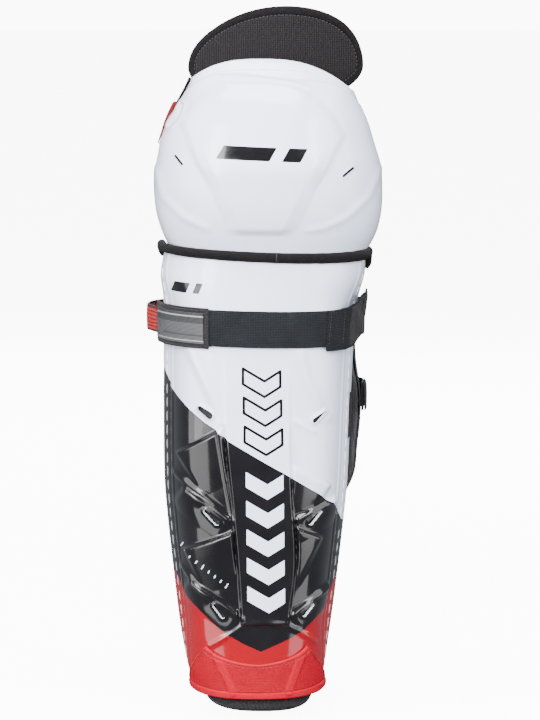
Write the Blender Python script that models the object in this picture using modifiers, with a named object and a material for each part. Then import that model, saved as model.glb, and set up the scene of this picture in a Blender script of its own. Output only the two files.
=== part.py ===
"""Hockey shin guard: shin shell, knee cap, thigh guard, wings, liner and straps.

Units are metres, +Z runs up the leg and the front of the guard faces -Y.
The helper functions take millimetres and the mesh builder scales them.
"""
import math

import bmesh
import bpy
from mathutils import Vector

MM = 0.001
SEAM_Y = 4.0

SHELL_BOTTOM = 12.0
SHELL_TOP = 323.0
SHELL_WALL = 2.8
FOAM_TOP = 300.0
CAP_WALL = 3.0

# Stations up the leg: height, then the value there, all in millimetres.
CENTRE = ((0, 1.0), (36, -1.0), (100, -1.5), (164, -0.8), (250, 0.0), (292, 2.1),
          (326, 4.5), (374, 6.8), (446, 10.0), (505, 12.8))
SHELL_HALF = ((0, 44.0), (12, 46.0), (32, 50.0), (61, 55.2), (97, 58.6), (133, 62.5),
              (165, 65.4), (247, 67.0), (290, 68.6), (315, 71.5), (326, 72.6))
SHELL_FRONT = ((0, -39.5), (60, -46.0), (100, -50.0), (160, -55.0), (250, -58.0),
               (290, -59.5), (326, -61.0))
CAP_HALF = ((300, 65.5), (320, 65.5), (331, 70.0), (341, 75.3), (355, 79.0), (373, 80.6),
            (390, 79.3), (405, 75.4), (419, 69.7), (434, 62.5), (446, 55.5), (464, 43.0))
CAP_FRONT = ((300, -54.5), (320, -55.0), (331, -59.0), (341, -64.0), (355, -70.0),
             (373, -74.5), (390, -75.5), (405, -74.0), (419, -70.0), (434, -63.0),
             (446, -55.0), (464, -41.5))
CAP_SEAM = ((300, 4.0), (395, 4.0), (420, -1.0), (434, -8.0), (447, -16.0), (464, -24.0))


def station(table, z):
    """Smooth value of a station table at height z."""
    if z <= table[0][0]:
        return table[0][1]
    if z >= table[-1][0]:
        return table[-1][1]
    i = 0
    while table[i + 1][0] < z:
        i += 1
    z0, p0 = table[i]
    z1, p1 = table[i + 1]
    zm, pm = table[max(i - 1, 0)]
    zp, pp = table[min(i + 2, len(table) - 1)]
    span = z1 - z0
    m0 = (p1 - pm) / (z1 - zm) * span
    m1 = (pp - p0) / (zp - z0) * span
    t = (z - z0) / span
    a = 2 * t ** 3 - 3 * t ** 2 + 1
    b = t ** 3 - 2 * t ** 2 + t
    c = -2 * t ** 3 + 3 * t ** 2
    d = t ** 3 - t ** 2
    return a * p0 + b * m0 + c * p1 + d * m1


def section(centre, half, seam, front, power, u):
    """Point on a rounded half section, u from -1 at the left seam to 1 at the right."""
    s = math.sin(u * math.pi / 2)
    c = math.cos(u * math.pi / 2)
    r = (abs(s / half) ** power + abs(c / (seam - front)) ** power) ** (-1 / power)
    return centre + r * s, seam - r * c


def shin(u, z):
    """Outer surface of the shin shell."""
    x, y = section(station(CENTRE, z), station(SHELL_HALF, z), SEAM_Y,
                   station(SHELL_FRONT, z), 2.3, u)
    return Vector((x, y, z))


def cap(u, z):
    """Outer surface of the knee cap."""
    x, y = section(station(CENTRE, z), station(CAP_HALF, z), station(CAP_SEAM, z),
                   station(CAP_FRONT, z), 2.2, u)
    return Vector((x, y, z))


def thigh(x, z):
    """Front surface of the thigh guard."""
    lean = 0.12 * max(z - 455.0, 0.0)
    return Vector((station(CENTRE, z) + x, -30.0 + 22.0 * (x / 62.0) ** 2 + lean, z))


def lifted(surface, u, v, height):
    """Point on a surface, lifted along its normal."""
    e = 1e-3
    du = surface(u + e, v) - surface(u - e, v)
    dv = surface(u, v + 0.1) - surface(u, v - 0.1)
    return surface(u, v) + du.cross(dv).normalized() * height


def spline(points, t):
    """Smooth point along a list of points, t from 0 to 1."""
    n = len(points) - 1
    i = min(int(t * n), n - 1)
    f = t * n - i
    p0 = Vector(points[max(i - 1, 0)])
    p1 = Vector(points[i])
    p2 = Vector(points[i + 1])
    p3 = Vector(points[min(i + 2, n)])
    m1 = (p2 - p0) / 2
    m2 = (p3 - p1) / 2
    a = 2 * f ** 3 - 3 * f ** 2 + 1
    c = -2 * f ** 3 + 3 * f ** 2
    return p1 * a + m1 * (f ** 3 - 2 * f ** 2 + f) + p2 * c + m2 * (f ** 3 - f ** 2)


def clear_scene():
    for thing in list(bpy.data.objects):
        bpy.data.objects.remove(thing, do_unlink=True)
    for group in list(bpy.data.collections):
        bpy.data.collections.remove(group)


def make_collection(name):
    group = bpy.data.collections.new(name)
    bpy.context.scene.collection.children.link(group)
    return group


def make_material(name, colour, roughness):
    material = bpy.data.materials.new(name)
    material.use_nodes = True
    shader = material.node_tree.nodes["Principled BSDF"]
    shader.inputs["Base Color"].default_value = (*colour, 1.0)
    shader.inputs["Roughness"].default_value = roughness
    return material


def finish_mesh(name, bm, look):
    bmesh.ops.scale(bm, vec=(MM, MM, MM), verts=bm.verts)
    mesh = bpy.data.meshes.new(name)
    bm.to_mesh(mesh)
    bm.free()
    piece = bpy.data.objects.new(name, mesh)
    PART.objects.link(piece)
    mesh.materials.append(make_material(name, *look))
    return piece


def sheet(name, place, steps, wall, look):
    """Sheet loft with a wall: place(s, t) is its outer face, s and t from 0 to 1."""
    bm = bmesh.new()
    bmesh.ops.create_grid(bm, x_segments=steps[0], y_segments=steps[1], size=1.0)
    for vert in bm.verts:
        vert.co = place((vert.co.x + 1) / 2, (vert.co.y + 1) / 2)
    piece = finish_mesh(name, bm, look)
    solid = piece.modifiers.new("Wall", "SOLIDIFY")
    solid.thickness = wall * MM
    solid.offset = -1.0
    solid.use_even_offset = True
    return piece


def tube(name, points, radius, sides, look, closed=False):
    """Round roll along a list of points in millimetres."""
    curve = bpy.data.curves.new(name, "CURVE")
    curve.dimensions = "3D"
    curve.bevel_depth = radius * MM
    curve.bevel_resolution = sides
    curve.use_fill_caps = True
    line = curve.splines.new("POLY")
    line.points.add(len(points) - 1)
    for spot, point in zip(line.points, points):
        spot.co = (*(Vector(point) * MM), 1.0)
    line.use_cyclic_u = closed
    rail = bpy.data.objects.new(name + "_rail", curve)
    mesh = bpy.data.meshes.new_from_object(rail)
    bpy.data.objects.remove(rail)
    bm = bmesh.new()
    bm.from_mesh(mesh)
    bpy.data.meshes.remove(mesh)
    bmesh.ops.remove_doubles(bm, verts=bm.verts, dist=1e-5)
    bmesh.ops.recalc_face_normals(bm, faces=bm.faces)
    bmesh.ops.scale(bm, vec=(1 / MM, 1 / MM, 1 / MM), verts=bm.verts)
    return finish_mesh(name, bm, look)


def on(surface, u0, u1, z0, z1, lift):
    """Rectangle of a leg surface between two angles and two heights."""
    def place(s, t):
        return lifted(surface, u0 + (u1 - u0) * s, z0 + (z1 - z0) * t, lift)
    return place


def cut(piece, name, place, size, turn):
    """Cut a rounded hole right through the wall at a place on the surface."""
    bm = bmesh.new()
    bmesh.ops.create_cone(bm, cap_ends=True, segments=12, radius1=1.0, radius2=1.0, depth=1.0)
    mesh = bpy.data.meshes.new(name)
    bm.to_mesh(mesh)
    bm.free()
    tool = bpy.data.objects.new(name, mesh)
    CUTTERS.objects.link(tool)
    tool.location = Vector(place) * MM
    tool.scale = Vector(size) * MM
    tool.rotation_mode = "XYZ"
    tool.rotation_euler = turn
    tool.hide_render = True
    tool.display_type = "WIRE"
    hole = piece.modifiers.new(name, "BOOLEAN")
    hole.operation = "DIFFERENCE"
    hole.solver = "EXACT"
    hole.object = tool


clear_scene()
PART = make_collection("hockey_shin_guard")
CUTTERS = make_collection("cutters")

WHITE = ((0.86, 0.87, 0.90), 0.25)
BLACK_FABRIC = ((0.045, 0.042, 0.045), 0.9)
WEBBING = ((0.035, 0.036, 0.042), 0.8)
FOAM = ((0.10, 0.10, 0.11), 0.95)
RED_PATCH = ((0.62, 0.04, 0.05), 0.6)
RED_ELASTIC = ((0.50, 0.03, 0.03), 0.85)
GREY_LABEL = ((0.30, 0.30, 0.32), 0.7)
PLASTIC = ((0.20, 0.20, 0.21), 0.5)
HOOK = ((0.02, 0.02, 0.022), 0.95)

# ---- shin shell with its six vents -------------------------------------------------
shell = sheet("shin_shell", on(shin, -1.0, 1.0, SHELL_BOTTOM, SHELL_TOP, 0.0),
              (24, 16), SHELL_WALL, WHITE)
VENTS = ((-42.0, 213.0, 5.0, 4.0), (37.0, 211.0, 4.5, 3.6), (-37.0, 143.0, 6.0, 5.0),
         (35.0, 142.0, 4.6, 4.4), (-31.0, 77.0, 5.2, 4.8), (28.0, 77.0, 4.4, 4.2))
for number, (x, z, wide, high) in enumerate(VENTS):
    depth = -SEAM_Y - station(SHELL_FRONT, z)
    half = station(SHELL_HALF, z)
    away = SEAM_Y - depth * (1 - abs((x - station(CENTRE, z)) / half) ** 2.3) ** 0.43
    lean = math.atan2((x / half) ** 1.3 * depth if x > 0 else -(-x / half) ** 1.3 * depth, half)
    cut(shell, "vent_%d" % number, (x, away, z), (wide, high, 24.0),
        (math.pi / 2, 0.0, lean))

# ---- padded roll along the shell's top edge ----------------------------------------
roll = []
for i in range(27):
    u = -1.0 + 2.0 * i / 26
    point = shin(u, 326.0)
    out = lifted(shin, u, 326.0, 0.1) - point
    rise = 1.6 * (1 - (2 * i / 26 - 1) ** 2)
    roll.append(point + out * 10 * 0.6 + Vector((0, 0, 2.6 - rise)))
tube("shin_shell_binding", roll, 3.3, 3, BLACK_FABRIC)

# ---- impact foam, toe patch and the liner's fixing strips --------------------------
sheet("shin_impact_foam", on(shin, -0.97, 0.97, 16.0, FOAM_TOP, -3.5), (18, 12), 4.2, FOAM)


def toe_place(s, t):
    side = 2 * s - 1
    z = 9.0 + (30.0 + 12.0 * side ** 2) * t
    edge = 0.93 - 0.47 * ((z - 9.0) / 42.0) ** 1.2
    return lifted(shin, side * edge - 0.02, z, 2.3)


sheet("foot_patch", toe_place, (18, 4), 1.4, RED_PATCH)
sheet("hook_strip_upper", on(shin, -0.34, 0.34, 232.0, 262.0, -8.1), (9, 2), 1.0, HOOK)
sheet("hook_strip_lower", on(shin, -0.34, 0.34, 60.0, 90.0, -8.1), (9, 2), 1.0, HOOK)
sheet("loop_strip_upper", on(shin, -0.34, 0.34, 232.0, 262.0, -9.5), (9, 2), 0.9, FOAM)
sheet("loop_strip_lower", on(shin, -0.34, 0.34, 60.0, 90.0, -9.5), (9, 2), 0.9, FOAM)


def liner_place(s, t):
    side = 2 * s - 1
    low = 11.0 * abs(side) ** 3
    return lifted(shin, side * 0.62, low + (300.0 - 4.0 * side ** 2 - low) * t, -10.9)


sheet("liner_pad", liner_place, (12, 8), 8.4, BLACK_FABRIC)

# ---- side wings: foam, stiff plate and edge binding --------------------------------
def wing_point(side, t, z):
    swell = 3.0 * math.exp(-((z - 212.0) / 34.0) ** 2) if side > 0 else 0.0
    reach = station(SHELL_HALF, z) - 0.8 + swell - 16.0 * t * t
    return Vector((station(CENTRE, z) + side * reach, SEAM_Y + 2.6 + 42.0 * t, z))


def wing_limits(t):
    return 74.0 + 34.0 * t * t, 298.0 - 22.0 * t * t


def wing_place(side, t0, t1, inset, lift):
    def place(s, v):
        def surface(a, z):
            return wing_point(side, a if side > 0 else 1 - a, z)
        t = t0 + (t1 - t0) * (s if side > 0 else 1 - s)
        low, high = wing_limits(t)
        z = low + inset + (high - low - 2 * inset) * v
        return lifted(surface, t if side > 0 else 1 - t, z, lift)
    return place


def wing_edge(side):
    path = []
    for i in range(9):
        t = 0.1 + 0.8 * i / 8
        path.append((t, wing_limits(t)[0] - 4.0))
    for i in range(1, 12):
        low, high = wing_limits(0.98)
        f = i / 12
        path.append((0.97 + 0.03 * math.sin(f * math.pi), low + 2 + (high - low - 4) * f))
    for i in range(9):
        t = 0.9 - 0.8 * i / 8
        path.append((t, wing_limits(t)[1] + 4.0))
    points = []
    for t, z in path:
        point = wing_point(side, t, z)
        points.append(point - Vector((side * 2.8, 0, 0)))
    return points


for side, word in ((-1, "medial"), (1, "lateral")):
    sheet(word + "_wing_foam", wing_place(side, 0.0, 0.88, 0.0, -0.4), (6, 8), 5.6,
          BLACK_FABRIC)
    sheet(word + "_wing_plate", wing_place(side, 0.14, 0.74, 16.0, 1.5), (5, 6), 1.5,
          PLASTIC)
    tube(word + "_wing_binding", wing_edge(side), 3.1, 2, WEBBING)

# ---- upper strap: front webbing, folded anchor, elastic and return run -------------
sheet("upper_strap_front", on(shin, -0.98, 0.94, 263.5, 288.5, 2.1), (24, 1), 1.6, WEBBING)


def anchor_place(s, t):
    low = 262.5 + 6.0 * s ** 2
    high = 289.5 + 23.0 * max(s - 0.35, 0.0) ** 1.5
    return lifted(shin, 0.50 + 0.50 * s, low + (high - low) * t, 4.4)


sheet("upper_strap_anchor", anchor_place, (8, 2), 1.9, WEBBING)


def ribbon(points, low, high):
    def place(s, t):
        x, y = spline(points, s)
        return Vector((x, y, low + (high - low) * t))
    return place


ELASTIC_PATH = ((0.0, 69.2), (-26.0, 67.0), (-52.0, 57.5), (-73.0, 39.0), (-79.3, 18.0),
                (-75.6, 6.0), (-72.2, -1.4))
RETURN_PATH = ((76.6, -4.6), (77.2, 3.0), (77.8, 16.0), (72.0, 38.0), (52.0, 56.0),
               (28.0, 65.0), (0.0, 67.2), (-9.0, 67.0))
sheet("upper_strap_elastic", ribbon(ELASTIC_PATH, 268.5, 288.5), (18, 1), 1.4, RED_ELASTIC)
sheet("upper_strap_return", ribbon(RETURN_PATH, 265.0, 289.0), (20, 1), 1.4, WEBBING)
sheet("upper_tab_hook", on(shin, -0.93, -0.41, 261.0, 291.0, 4.1), (10, 1), 1.6, HOOK)
sheet("upper_tab_label", on(shin, -0.90, -0.44, 262.5, 289.5, 5.3), (10, 1), 0.9, GREY_LABEL)

# ---- lower strap with its hook tab -------------------------------------------------
LOWER_PATH = ((74.2, 4.0), (75.2, 12.0), (74.6, 28.0), (62.0, 48.0), (34.0, 62.0),
              (0.0, 67.5), (-34.0, 62.0), (-61.0, 48.0), (-70.8, 30.0), (-71.2, 14.0),
              (-69.0, 5.6))
TAB_PATH = ((77.0, 0.0), (77.6, 10.0), (77.2, 27.0))
sheet("lower_strap_back", ribbon(LOWER_PATH, 209.0, 235.0), (30, 1), 1.5, WEBBING)
sheet("lower_tab_hook", ribbon(TAB_PATH, 208.0, 236.0), (8, 1), 1.4, HOOK)

# ---- knee cap, its foam, liner, slings and pull tab --------------------------------
def cap_place(lift, reach, low, low_rise, high, high_drop):
    def place(s, t):
        side = 2 * s - 1
        z0 = low + low_rise * abs(side) ** 3
        z1 = high - high_drop * side ** 2
        return lifted(cap, side * reach, z0 + (z1 - z0) * t, lift)
    return place


knee = sheet("knee_cap_shell", cap_place(0.0, 1.0, 320.5, 11.0, 463.0, 15.0), (24, 14),
             CAP_WALL, WHITE)
for number, (side, x) in enumerate(((-1, -59.0), (1, 66.0))):
    cut(knee, "slot_%d" % number, (x, -32.0, 388.0), (5.6, 1.5, 30.0),
        (math.pi / 2, side * -0.62, side * 1.0))
sheet("knee_foam", cap_place(-3.4, 0.78, 331.0, 6.0, 424.0, 10.0), (14, 8), 5.2, FOAM)
sheet("knee_liner", cap_place(-10.0, 0.84, 333.0, 6.0, 421.0, 10.0), (14, 6), 3.0,
      BLACK_FABRIC)
for side, word in ((-1, "medial"), (1, "lateral")):
    ends = (0.84, 0.94) if side > 0 else (-0.94, -0.84)
    sheet("knee_sling_" + word, on(cap, ends[0], ends[1], 304.0, 398.0, -3.5), (2, 10), 1.4,
          WEBBING)


def pull_place(s, t):
    z = 402.0 + 32.0 * t
    edge = cap(-1.0, z)
    return Vector((edge.x + 1.0 - 4.5 * t + 3.0 * s * (0.3 + 0.7 * t), edge.y + 2.4 - s, z))


sheet("knee_pull_tab", pull_place, (2, 8), 1.4, RED_ELASTIC)

# ---- thigh guard: front panel, stiff plate, back foam and edge binding -------------
THIGH_MID = 457.0


def thigh_half(z, inset):
    above = z > THIGH_MID
    tall = (45.5 if above else 26.0) - inset
    return (62.3 - inset) * math.sqrt(max(1 - ((z - THIGH_MID) / tall) ** 2, 0.0))


def thigh_place(inset, back):
    def place(s, t):
        angle = math.pi * (t - 0.5)
        rise = math.sin(angle)
        tall = (45.5 if rise > 0 else 26.0) - inset
        z = THIGH_MID + tall * 0.985 * rise
        x = thigh_half(z, inset) * (2 * s - 1)
        return lifted(thigh, x, z, -back)
    return place


sheet("thigh_panel", thigh_place(7.6, 0.4), (10, 8), 3.4, BLACK_FABRIC)
sheet("thigh_plate", thigh_place(9.5, 4.5), (10, 8), 1.2, PLASTIC)
sheet("thigh_back_foam", thigh_place(7.6, 6.6), (10, 8), 3.0, FOAM)
rim = []
for i in range(32):
    angle = 2 * math.pi * i / 32
    rise = math.sin(angle)
    z = THIGH_MID + ((45.5 if rise > 0 else 26.0) - 3.6) * rise
    rim.append(lifted(thigh, (62.3 - 3.6) * math.cos(angle), z, -4.6))
tube("thigh_binding", rim, 3.5, 2, BLACK_FABRIC, closed=True)
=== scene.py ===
"""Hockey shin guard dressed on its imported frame. Lengths are in millimetres until a mesh is made."""
import math

import bmesh
import bpy
import numpy as np
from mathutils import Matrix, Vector


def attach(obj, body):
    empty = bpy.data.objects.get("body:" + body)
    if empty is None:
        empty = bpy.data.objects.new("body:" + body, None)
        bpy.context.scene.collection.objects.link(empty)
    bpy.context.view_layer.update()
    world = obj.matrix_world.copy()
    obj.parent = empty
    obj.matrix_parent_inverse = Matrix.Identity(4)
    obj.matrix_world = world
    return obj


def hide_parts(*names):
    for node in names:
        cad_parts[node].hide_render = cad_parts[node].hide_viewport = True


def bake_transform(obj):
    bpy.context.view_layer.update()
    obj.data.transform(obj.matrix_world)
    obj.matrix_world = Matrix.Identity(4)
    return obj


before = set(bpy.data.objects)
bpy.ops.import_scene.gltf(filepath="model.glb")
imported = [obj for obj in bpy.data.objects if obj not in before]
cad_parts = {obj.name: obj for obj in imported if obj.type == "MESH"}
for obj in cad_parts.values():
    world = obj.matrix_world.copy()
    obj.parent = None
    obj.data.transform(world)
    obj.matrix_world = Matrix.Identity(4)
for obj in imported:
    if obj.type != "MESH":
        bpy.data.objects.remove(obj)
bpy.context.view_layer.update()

MM = 0.001
SEAM_Y = 4.0
PI = math.pi

# Stations up the leg: height, then the value there.
CENTRE = ((0, 0.8), (36, -1.7), (100, -1.8), (164, -1.5), (250, 0.1), (292, 1.9),
          (326, 4.7), (374, 6.8), (446, 10.0), (505, 12.8))
SHELL_HALF = ((0, 44.6), (12, 46.6), (32, 50.9), (61, 55.8), (97, 60.2), (133, 64.2),
              (165, 66.8), (247, 68.6), (290, 70.3), (309, 73.6), (326, 72.4))
SHELL_FRONT = ((0, -39.5), (60, -46.0), (100, -50.0), (160, -55.0), (250, -58.0),
               (290, -59.5), (326, -61.0))
CAP_HALF = ((300, 66.0), (320, 68.0), (331, 72.5), (341, 76.8), (355, 80.2), (373, 81.1),
            (390, 79.4), (405, 76.0), (419, 71.2), (434, 63.4), (446, 57.8), (470, 46.0))
CAP_CENTRE = ((300, 4.0), (331, 7.9), (355, 7.6), (373, 7.1), (390, 7.1), (405, 6.3), (419, 6.8),
              (434, 8.0), (447, 8.4), (470, 4.5))
CAP_FRONT = ((300, -54.5), (320, -55.0), (331, -59.0), (341, -64.0), (355, -70.0),
             (373, -74.5), (390, -75.5), (405, -74.0), (419, -70.0), (434, -63.0),
             (446, -55.0), (464, -41.5), (470, -36.5))
CAP_SEAM = ((300, 4.0), (395, 4.0), (420, -1.0), (434, -8.0), (447, -16.0), (464, -24.0),
            (470, -26.5))


# ---- surfaces ------------------------------------------------------------------------
def station(table, z):
    """Smooth value of a station table at every height in z."""
    zs = np.array([row[0] for row in table], float)
    ps = np.array([row[1] for row in table], float)
    slope = np.empty(len(zs))
    slope[1:-1] = (ps[2:] - ps[:-2]) / (zs[2:] - zs[:-2])
    slope[0] = (ps[1] - ps[0]) / (zs[1] - zs[0])
    slope[-1] = (ps[-1] - ps[-2]) / (zs[-1] - zs[-2])
    z = np.clip(np.asarray(z, float), zs[0], zs[-1])
    i = np.clip(np.searchsorted(zs, z, side="right") - 1, 0, len(zs) - 2)
    span = zs[i + 1] - zs[i]
    t = (z - zs[i]) / span
    return ((2 * t ** 3 - 3 * t ** 2 + 1) * ps[i] + (t ** 3 - 2 * t ** 2 + t) * slope[i] * span
            + (3 * t ** 2 - 2 * t ** 3) * ps[i + 1] + (t ** 3 - t ** 2) * slope[i + 1] * span)


def section(centre, half, seam, front, power, u):
    s = np.sin(u * PI / 2)
    c = np.cos(u * PI / 2)
    r = (np.abs(s / half) ** power + np.abs(c / (seam - front)) ** power) ** (-1 / power)
    return centre + r * s, seam - r * c


def shin(u, z):
    x, y = section(station(CENTRE, z), station(SHELL_HALF, z), SEAM_Y,
                   station(SHELL_FRONT, z), 2.3, u)
    return np.stack([x, y, z + 0 * x], -1)


def shell(u, z):
    """Shin shell surface: drawn in towards the side flanges, which then flare back out."""
    p = shin(u, z)
    edge = np.abs(u)
    draw = np.where(edge < 0.79, smooth(edge, 0.42, 0.79), (1 - edge) / 0.21)
    depth = 4.6 * smooth(z, 20, 70) * (1 - 0.75 * smooth(z, 285, 318))
    p[..., 0] -= np.sign(u) * draw * depth
    return p


def cap(u, z):
    x, y = section(station(CAP_CENTRE, z), station(CAP_HALF, z), station(CAP_SEAM, z),
                   station(CAP_FRONT, z), 2.2, u)
    return np.stack([x, y, z + 0 * x], -1)


def thigh(x, z):
    lean = 0.12 * np.maximum(z - 455.0, 0.0)
    return np.stack([station(CENTRE, z) + x, -30.0 + 22.0 * (x / 62.0) ** 2 + lean, z + 0 * x], -1)


def normals(surface, u, v):
    e = 1e-3
    du = surface(u + e, v) - surface(u - e, v)
    dv = surface(u, v + 0.1) - surface(u, v - 0.1)
    n = np.cross(du, dv)
    return n / np.linalg.norm(n, axis=-1, keepdims=True)


def lifted(surface, u, v, height):
    return surface(u, v) + normals(surface, u, v) * np.asarray(height)[..., None]


def grid(nu, nv):
    """Two arrays s, t from 0 to 1, for a sheet of nu by nv quads."""
    return np.meshgrid(np.linspace(0, 1, nu + 1), np.linspace(0, 1, nv + 1), indexing="ij")


def smooth(x, a, b):
    t = np.clip((x - a) / (b - a), 0, 1)
    return t * t * (3 - 2 * t)


def ridge(distance, width):
    """1 at no distance, dying away to either side."""
    return np.exp(-(distance / width) ** 2)


def seams(place, first, step, count, width):
    """Evenly spaced ridges across a place."""
    line = np.zeros(np.shape(place))
    for k in range(count):
        line = np.maximum(line, ridge(place - first - step * k, width))
    return line


def rounded(edge, radius):
    """Rise of a rounded rim: 0 at the edge, 1 from one radius inside it."""
    return np.sqrt(np.clip(1 - np.clip(1 - edge / radius, 0, 1) ** 2, 0, 1))


def rim_distance(s, t, wide, tall):
    """Distance from the nearest edge of a sheet that is so wide and tall."""
    return np.minimum(np.minimum(s, 1 - s) * wide, np.minimum(t, 1 - t) * tall)


def spline(points, t):
    """Smooth points along a list of points at every t from 0 to 1."""
    p = np.asarray(points, float)
    n = len(p) - 1
    k = np.clip((np.asarray(t) * n).astype(int), 0, n - 1)
    f = (np.asarray(t) * n - k)[..., None]
    m = np.empty_like(p)
    m[1:-1] = (p[2:] - p[:-2]) / 2
    m[0] = p[1] - p[0]
    m[-1] = p[-1] - p[-2]
    return ((2 * f ** 3 - 3 * f ** 2 + 1) * p[k] + (f ** 3 - 2 * f ** 2 + f) * m[k]
            + (3 * f ** 2 - 2 * f ** 3) * p[k + 1] + (f ** 3 - f ** 2) * m[k + 1])


# ---- distances in the front view -----------------------------------------------------
def to_line(x, z, p, q):
    """Place along a line (0 to 1), and distance from it, positive below it."""
    dx, dz = q[0] - p[0], q[1] - p[1]
    size = math.hypot(dx, dz)
    along = ((x - p[0]) * dx + (z - p[1]) * dz) / size ** 2
    below = ((x - p[0]) * dz - (z - p[1]) * dx) / size
    return along, below if dx > 0 else -below


def to_path(x, z, points):
    """Distance from a chain of lines."""
    best = np.full(np.shape(x), 1e9)
    for p, q in zip(points[:-1], points[1:]):
        dx, dz = q[0] - p[0], q[1] - p[1]
        t = np.clip(((x - p[0]) * dx + (z - p[1]) * dz) / (dx * dx + dz * dz), 0, 1)
        best = np.minimum(best, np.hypot(x - p[0] - t * dx, z - p[1] - t * dz))
    return best


def drop(x, z, p, q, r0, r1):
    """Signed distance from a tapered round-ended slot, negative inside."""
    best = np.full(np.shape(x), 1e9)
    for i in range(13):
        t = i / 12
        reach = np.hypot(x - p[0] - t * (q[0] - p[0]), z - p[1] - t * (q[1] - p[1]))
        best = np.minimum(best, reach - r0 - t * (r1 - r0))
    return best


def polygon(x, z, points):
    """Signed distance from a polygon, negative inside."""
    best = to_path(x, z, list(points) + [points[0]])
    inside = np.zeros(np.shape(x), bool)
    for (ax, az), (bx, bz) in zip(points, list(points[1:]) + [points[0]]):
        cross = ((az > z) != (bz > z)) & (x < (bx - ax) * (z - az) / (bz - az + 1e-12) + ax)
        inside ^= cross
    return np.where(inside, -best, best)


def marks(x, z, shapes):
    """Signed distance from the nearest of some polygons."""
    return np.minimum.reduce([polygon(x, z, shape) for shape in shapes])


def slot_field(slots, x, z):
    """Signed distance from the nearest of some tapered slots."""
    return np.minimum.reduce([drop(x, z, *slot) for slot in slots])


def cut_slots(surface, slots, u, z, wide, narrow, inset):
    """Slide the grid points near a slot onto its outline, and mark the faces inside for removal."""
    e = 0.05
    for reach in (wide, narrow, narrow):
        x = surface(u, z)[..., 0]
        f = slot_field(slots, x, z)
        near = np.abs(f) < reach
        gx = (slot_field(slots, x + e, z) - slot_field(slots, x - e, z)) / (2 * e)
        gz = (slot_field(slots, x, z + e) - slot_field(slots, x, z - e)) / (2 * e)
        rate = (surface(u + 1e-3, z)[..., 0] - surface(u - 1e-3, z)[..., 0]) / 2e-3
        u = np.where(near, u - f * gx / np.where(near, rate, 1), u)
        z = np.where(near, z - f * gz, z)
    x = surface(u, z)[..., 0]
    f = slot_field(slots, x, z)
    gone = f <= inset
    return u, z, x, f, gone[:-1, :-1] & gone[1:, :-1] & gone[1:, 1:] & gone[:-1, 1:]


# ---- meshes --------------------------------------------------------------------------
def make(name, verts, faces, materials, slots=None, attrs=None, angle=38):
    mesh = bpy.data.meshes.new(name)
    mesh.from_pydata((np.asarray(verts) * MM).tolist(), [], faces)
    for material in materials:
        mesh.materials.append(material)
    if slots is not None:
        mesh.polygons.foreach_set("material_index", np.asarray(slots, np.int32))
    for key, values in (attrs or {}).items():
        layer = mesh.attributes.new(key, "FLOAT", "POINT")
        layer.data.foreach_set("value", np.asarray(values, np.float32).ravel())
    mesh.polygons.foreach_set("use_smooth", np.ones(len(mesh.polygons), bool))
    mesh.set_sharp_from_angle(angle=math.radians(angle))
    mesh.update()
    piece = bpy.data.objects.new(name, mesh)
    bpy.context.scene.collection.objects.link(piece)
    return piece


def solid(name, outer, inner, materials, hole=None, attrs=None, angle=38):
    """Closed body between two grids of points, with faces marked in hole left out."""
    nu, nv = outer.shape[0], outer.shape[1]
    count = nu * nv
    number = np.arange(count).reshape(nu, nv)
    quads = np.stack([number[:-1, :-1], number[1:, :-1], number[1:, 1:], number[:-1, 1:]], -1)
    kept = np.ones(quads.shape[:2], bool) if hole is None else ~hole
    top = quads[kept].reshape(-1, 4)
    faces = top.tolist() + (top[:, ::-1] + count).tolist()
    slots = [0] * len(faces)
    edges = np.concatenate([top[:, [0, 1]], top[:, [1, 2]], top[:, [2, 3]], top[:, [3, 0]]])
    key = edges[:, 0].astype(np.int64) * count + edges[:, 1]
    back = edges[:, 1].astype(np.int64) * count + edges[:, 0]
    border = edges[~np.isin(key, back)]
    rows, cols = border // nv, border % nv
    rim = ((rows == 0) | (rows == nu - 1)).all(1) | ((cols == 0) | (cols == nv - 1)).all(1)
    for (a, b), outside in zip(border.tolist(), rim.tolist()):
        faces.append([b, a, a + count, b + count])
        slots.append(0 if outside or len(materials) < 2 else 1)
    verts = np.concatenate([outer.reshape(-1, 3), inner.reshape(-1, 3)])
    used = np.zeros(len(verts), bool)
    used[np.unique(np.concatenate([np.ravel(f) for f in faces]))] = True
    index = np.cumsum(used) - 1
    faces = [[int(index[i]) for i in f] for f in faces]
    both = {k: np.concatenate([np.ravel(v), np.ravel(v)])[used] for k, v in (attrs or {}).items()}
    return make(name, verts[used], faces, materials, slots, both, angle)


def band(name, surface_points, normal, wall, materials, attrs=None):
    """Flat strap or sheet: a mid surface thickened with rounded long edges."""
    nv = surface_points.shape[1]
    t = np.linspace(-1, 1, nv)
    half = wall / 2 * (1 - 0.35 * np.abs(t) ** 12)[None, :, None]
    return solid(name, surface_points + normal * half, surface_points - normal * half,
                 materials, attrs=attrs, angle=60)


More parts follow.
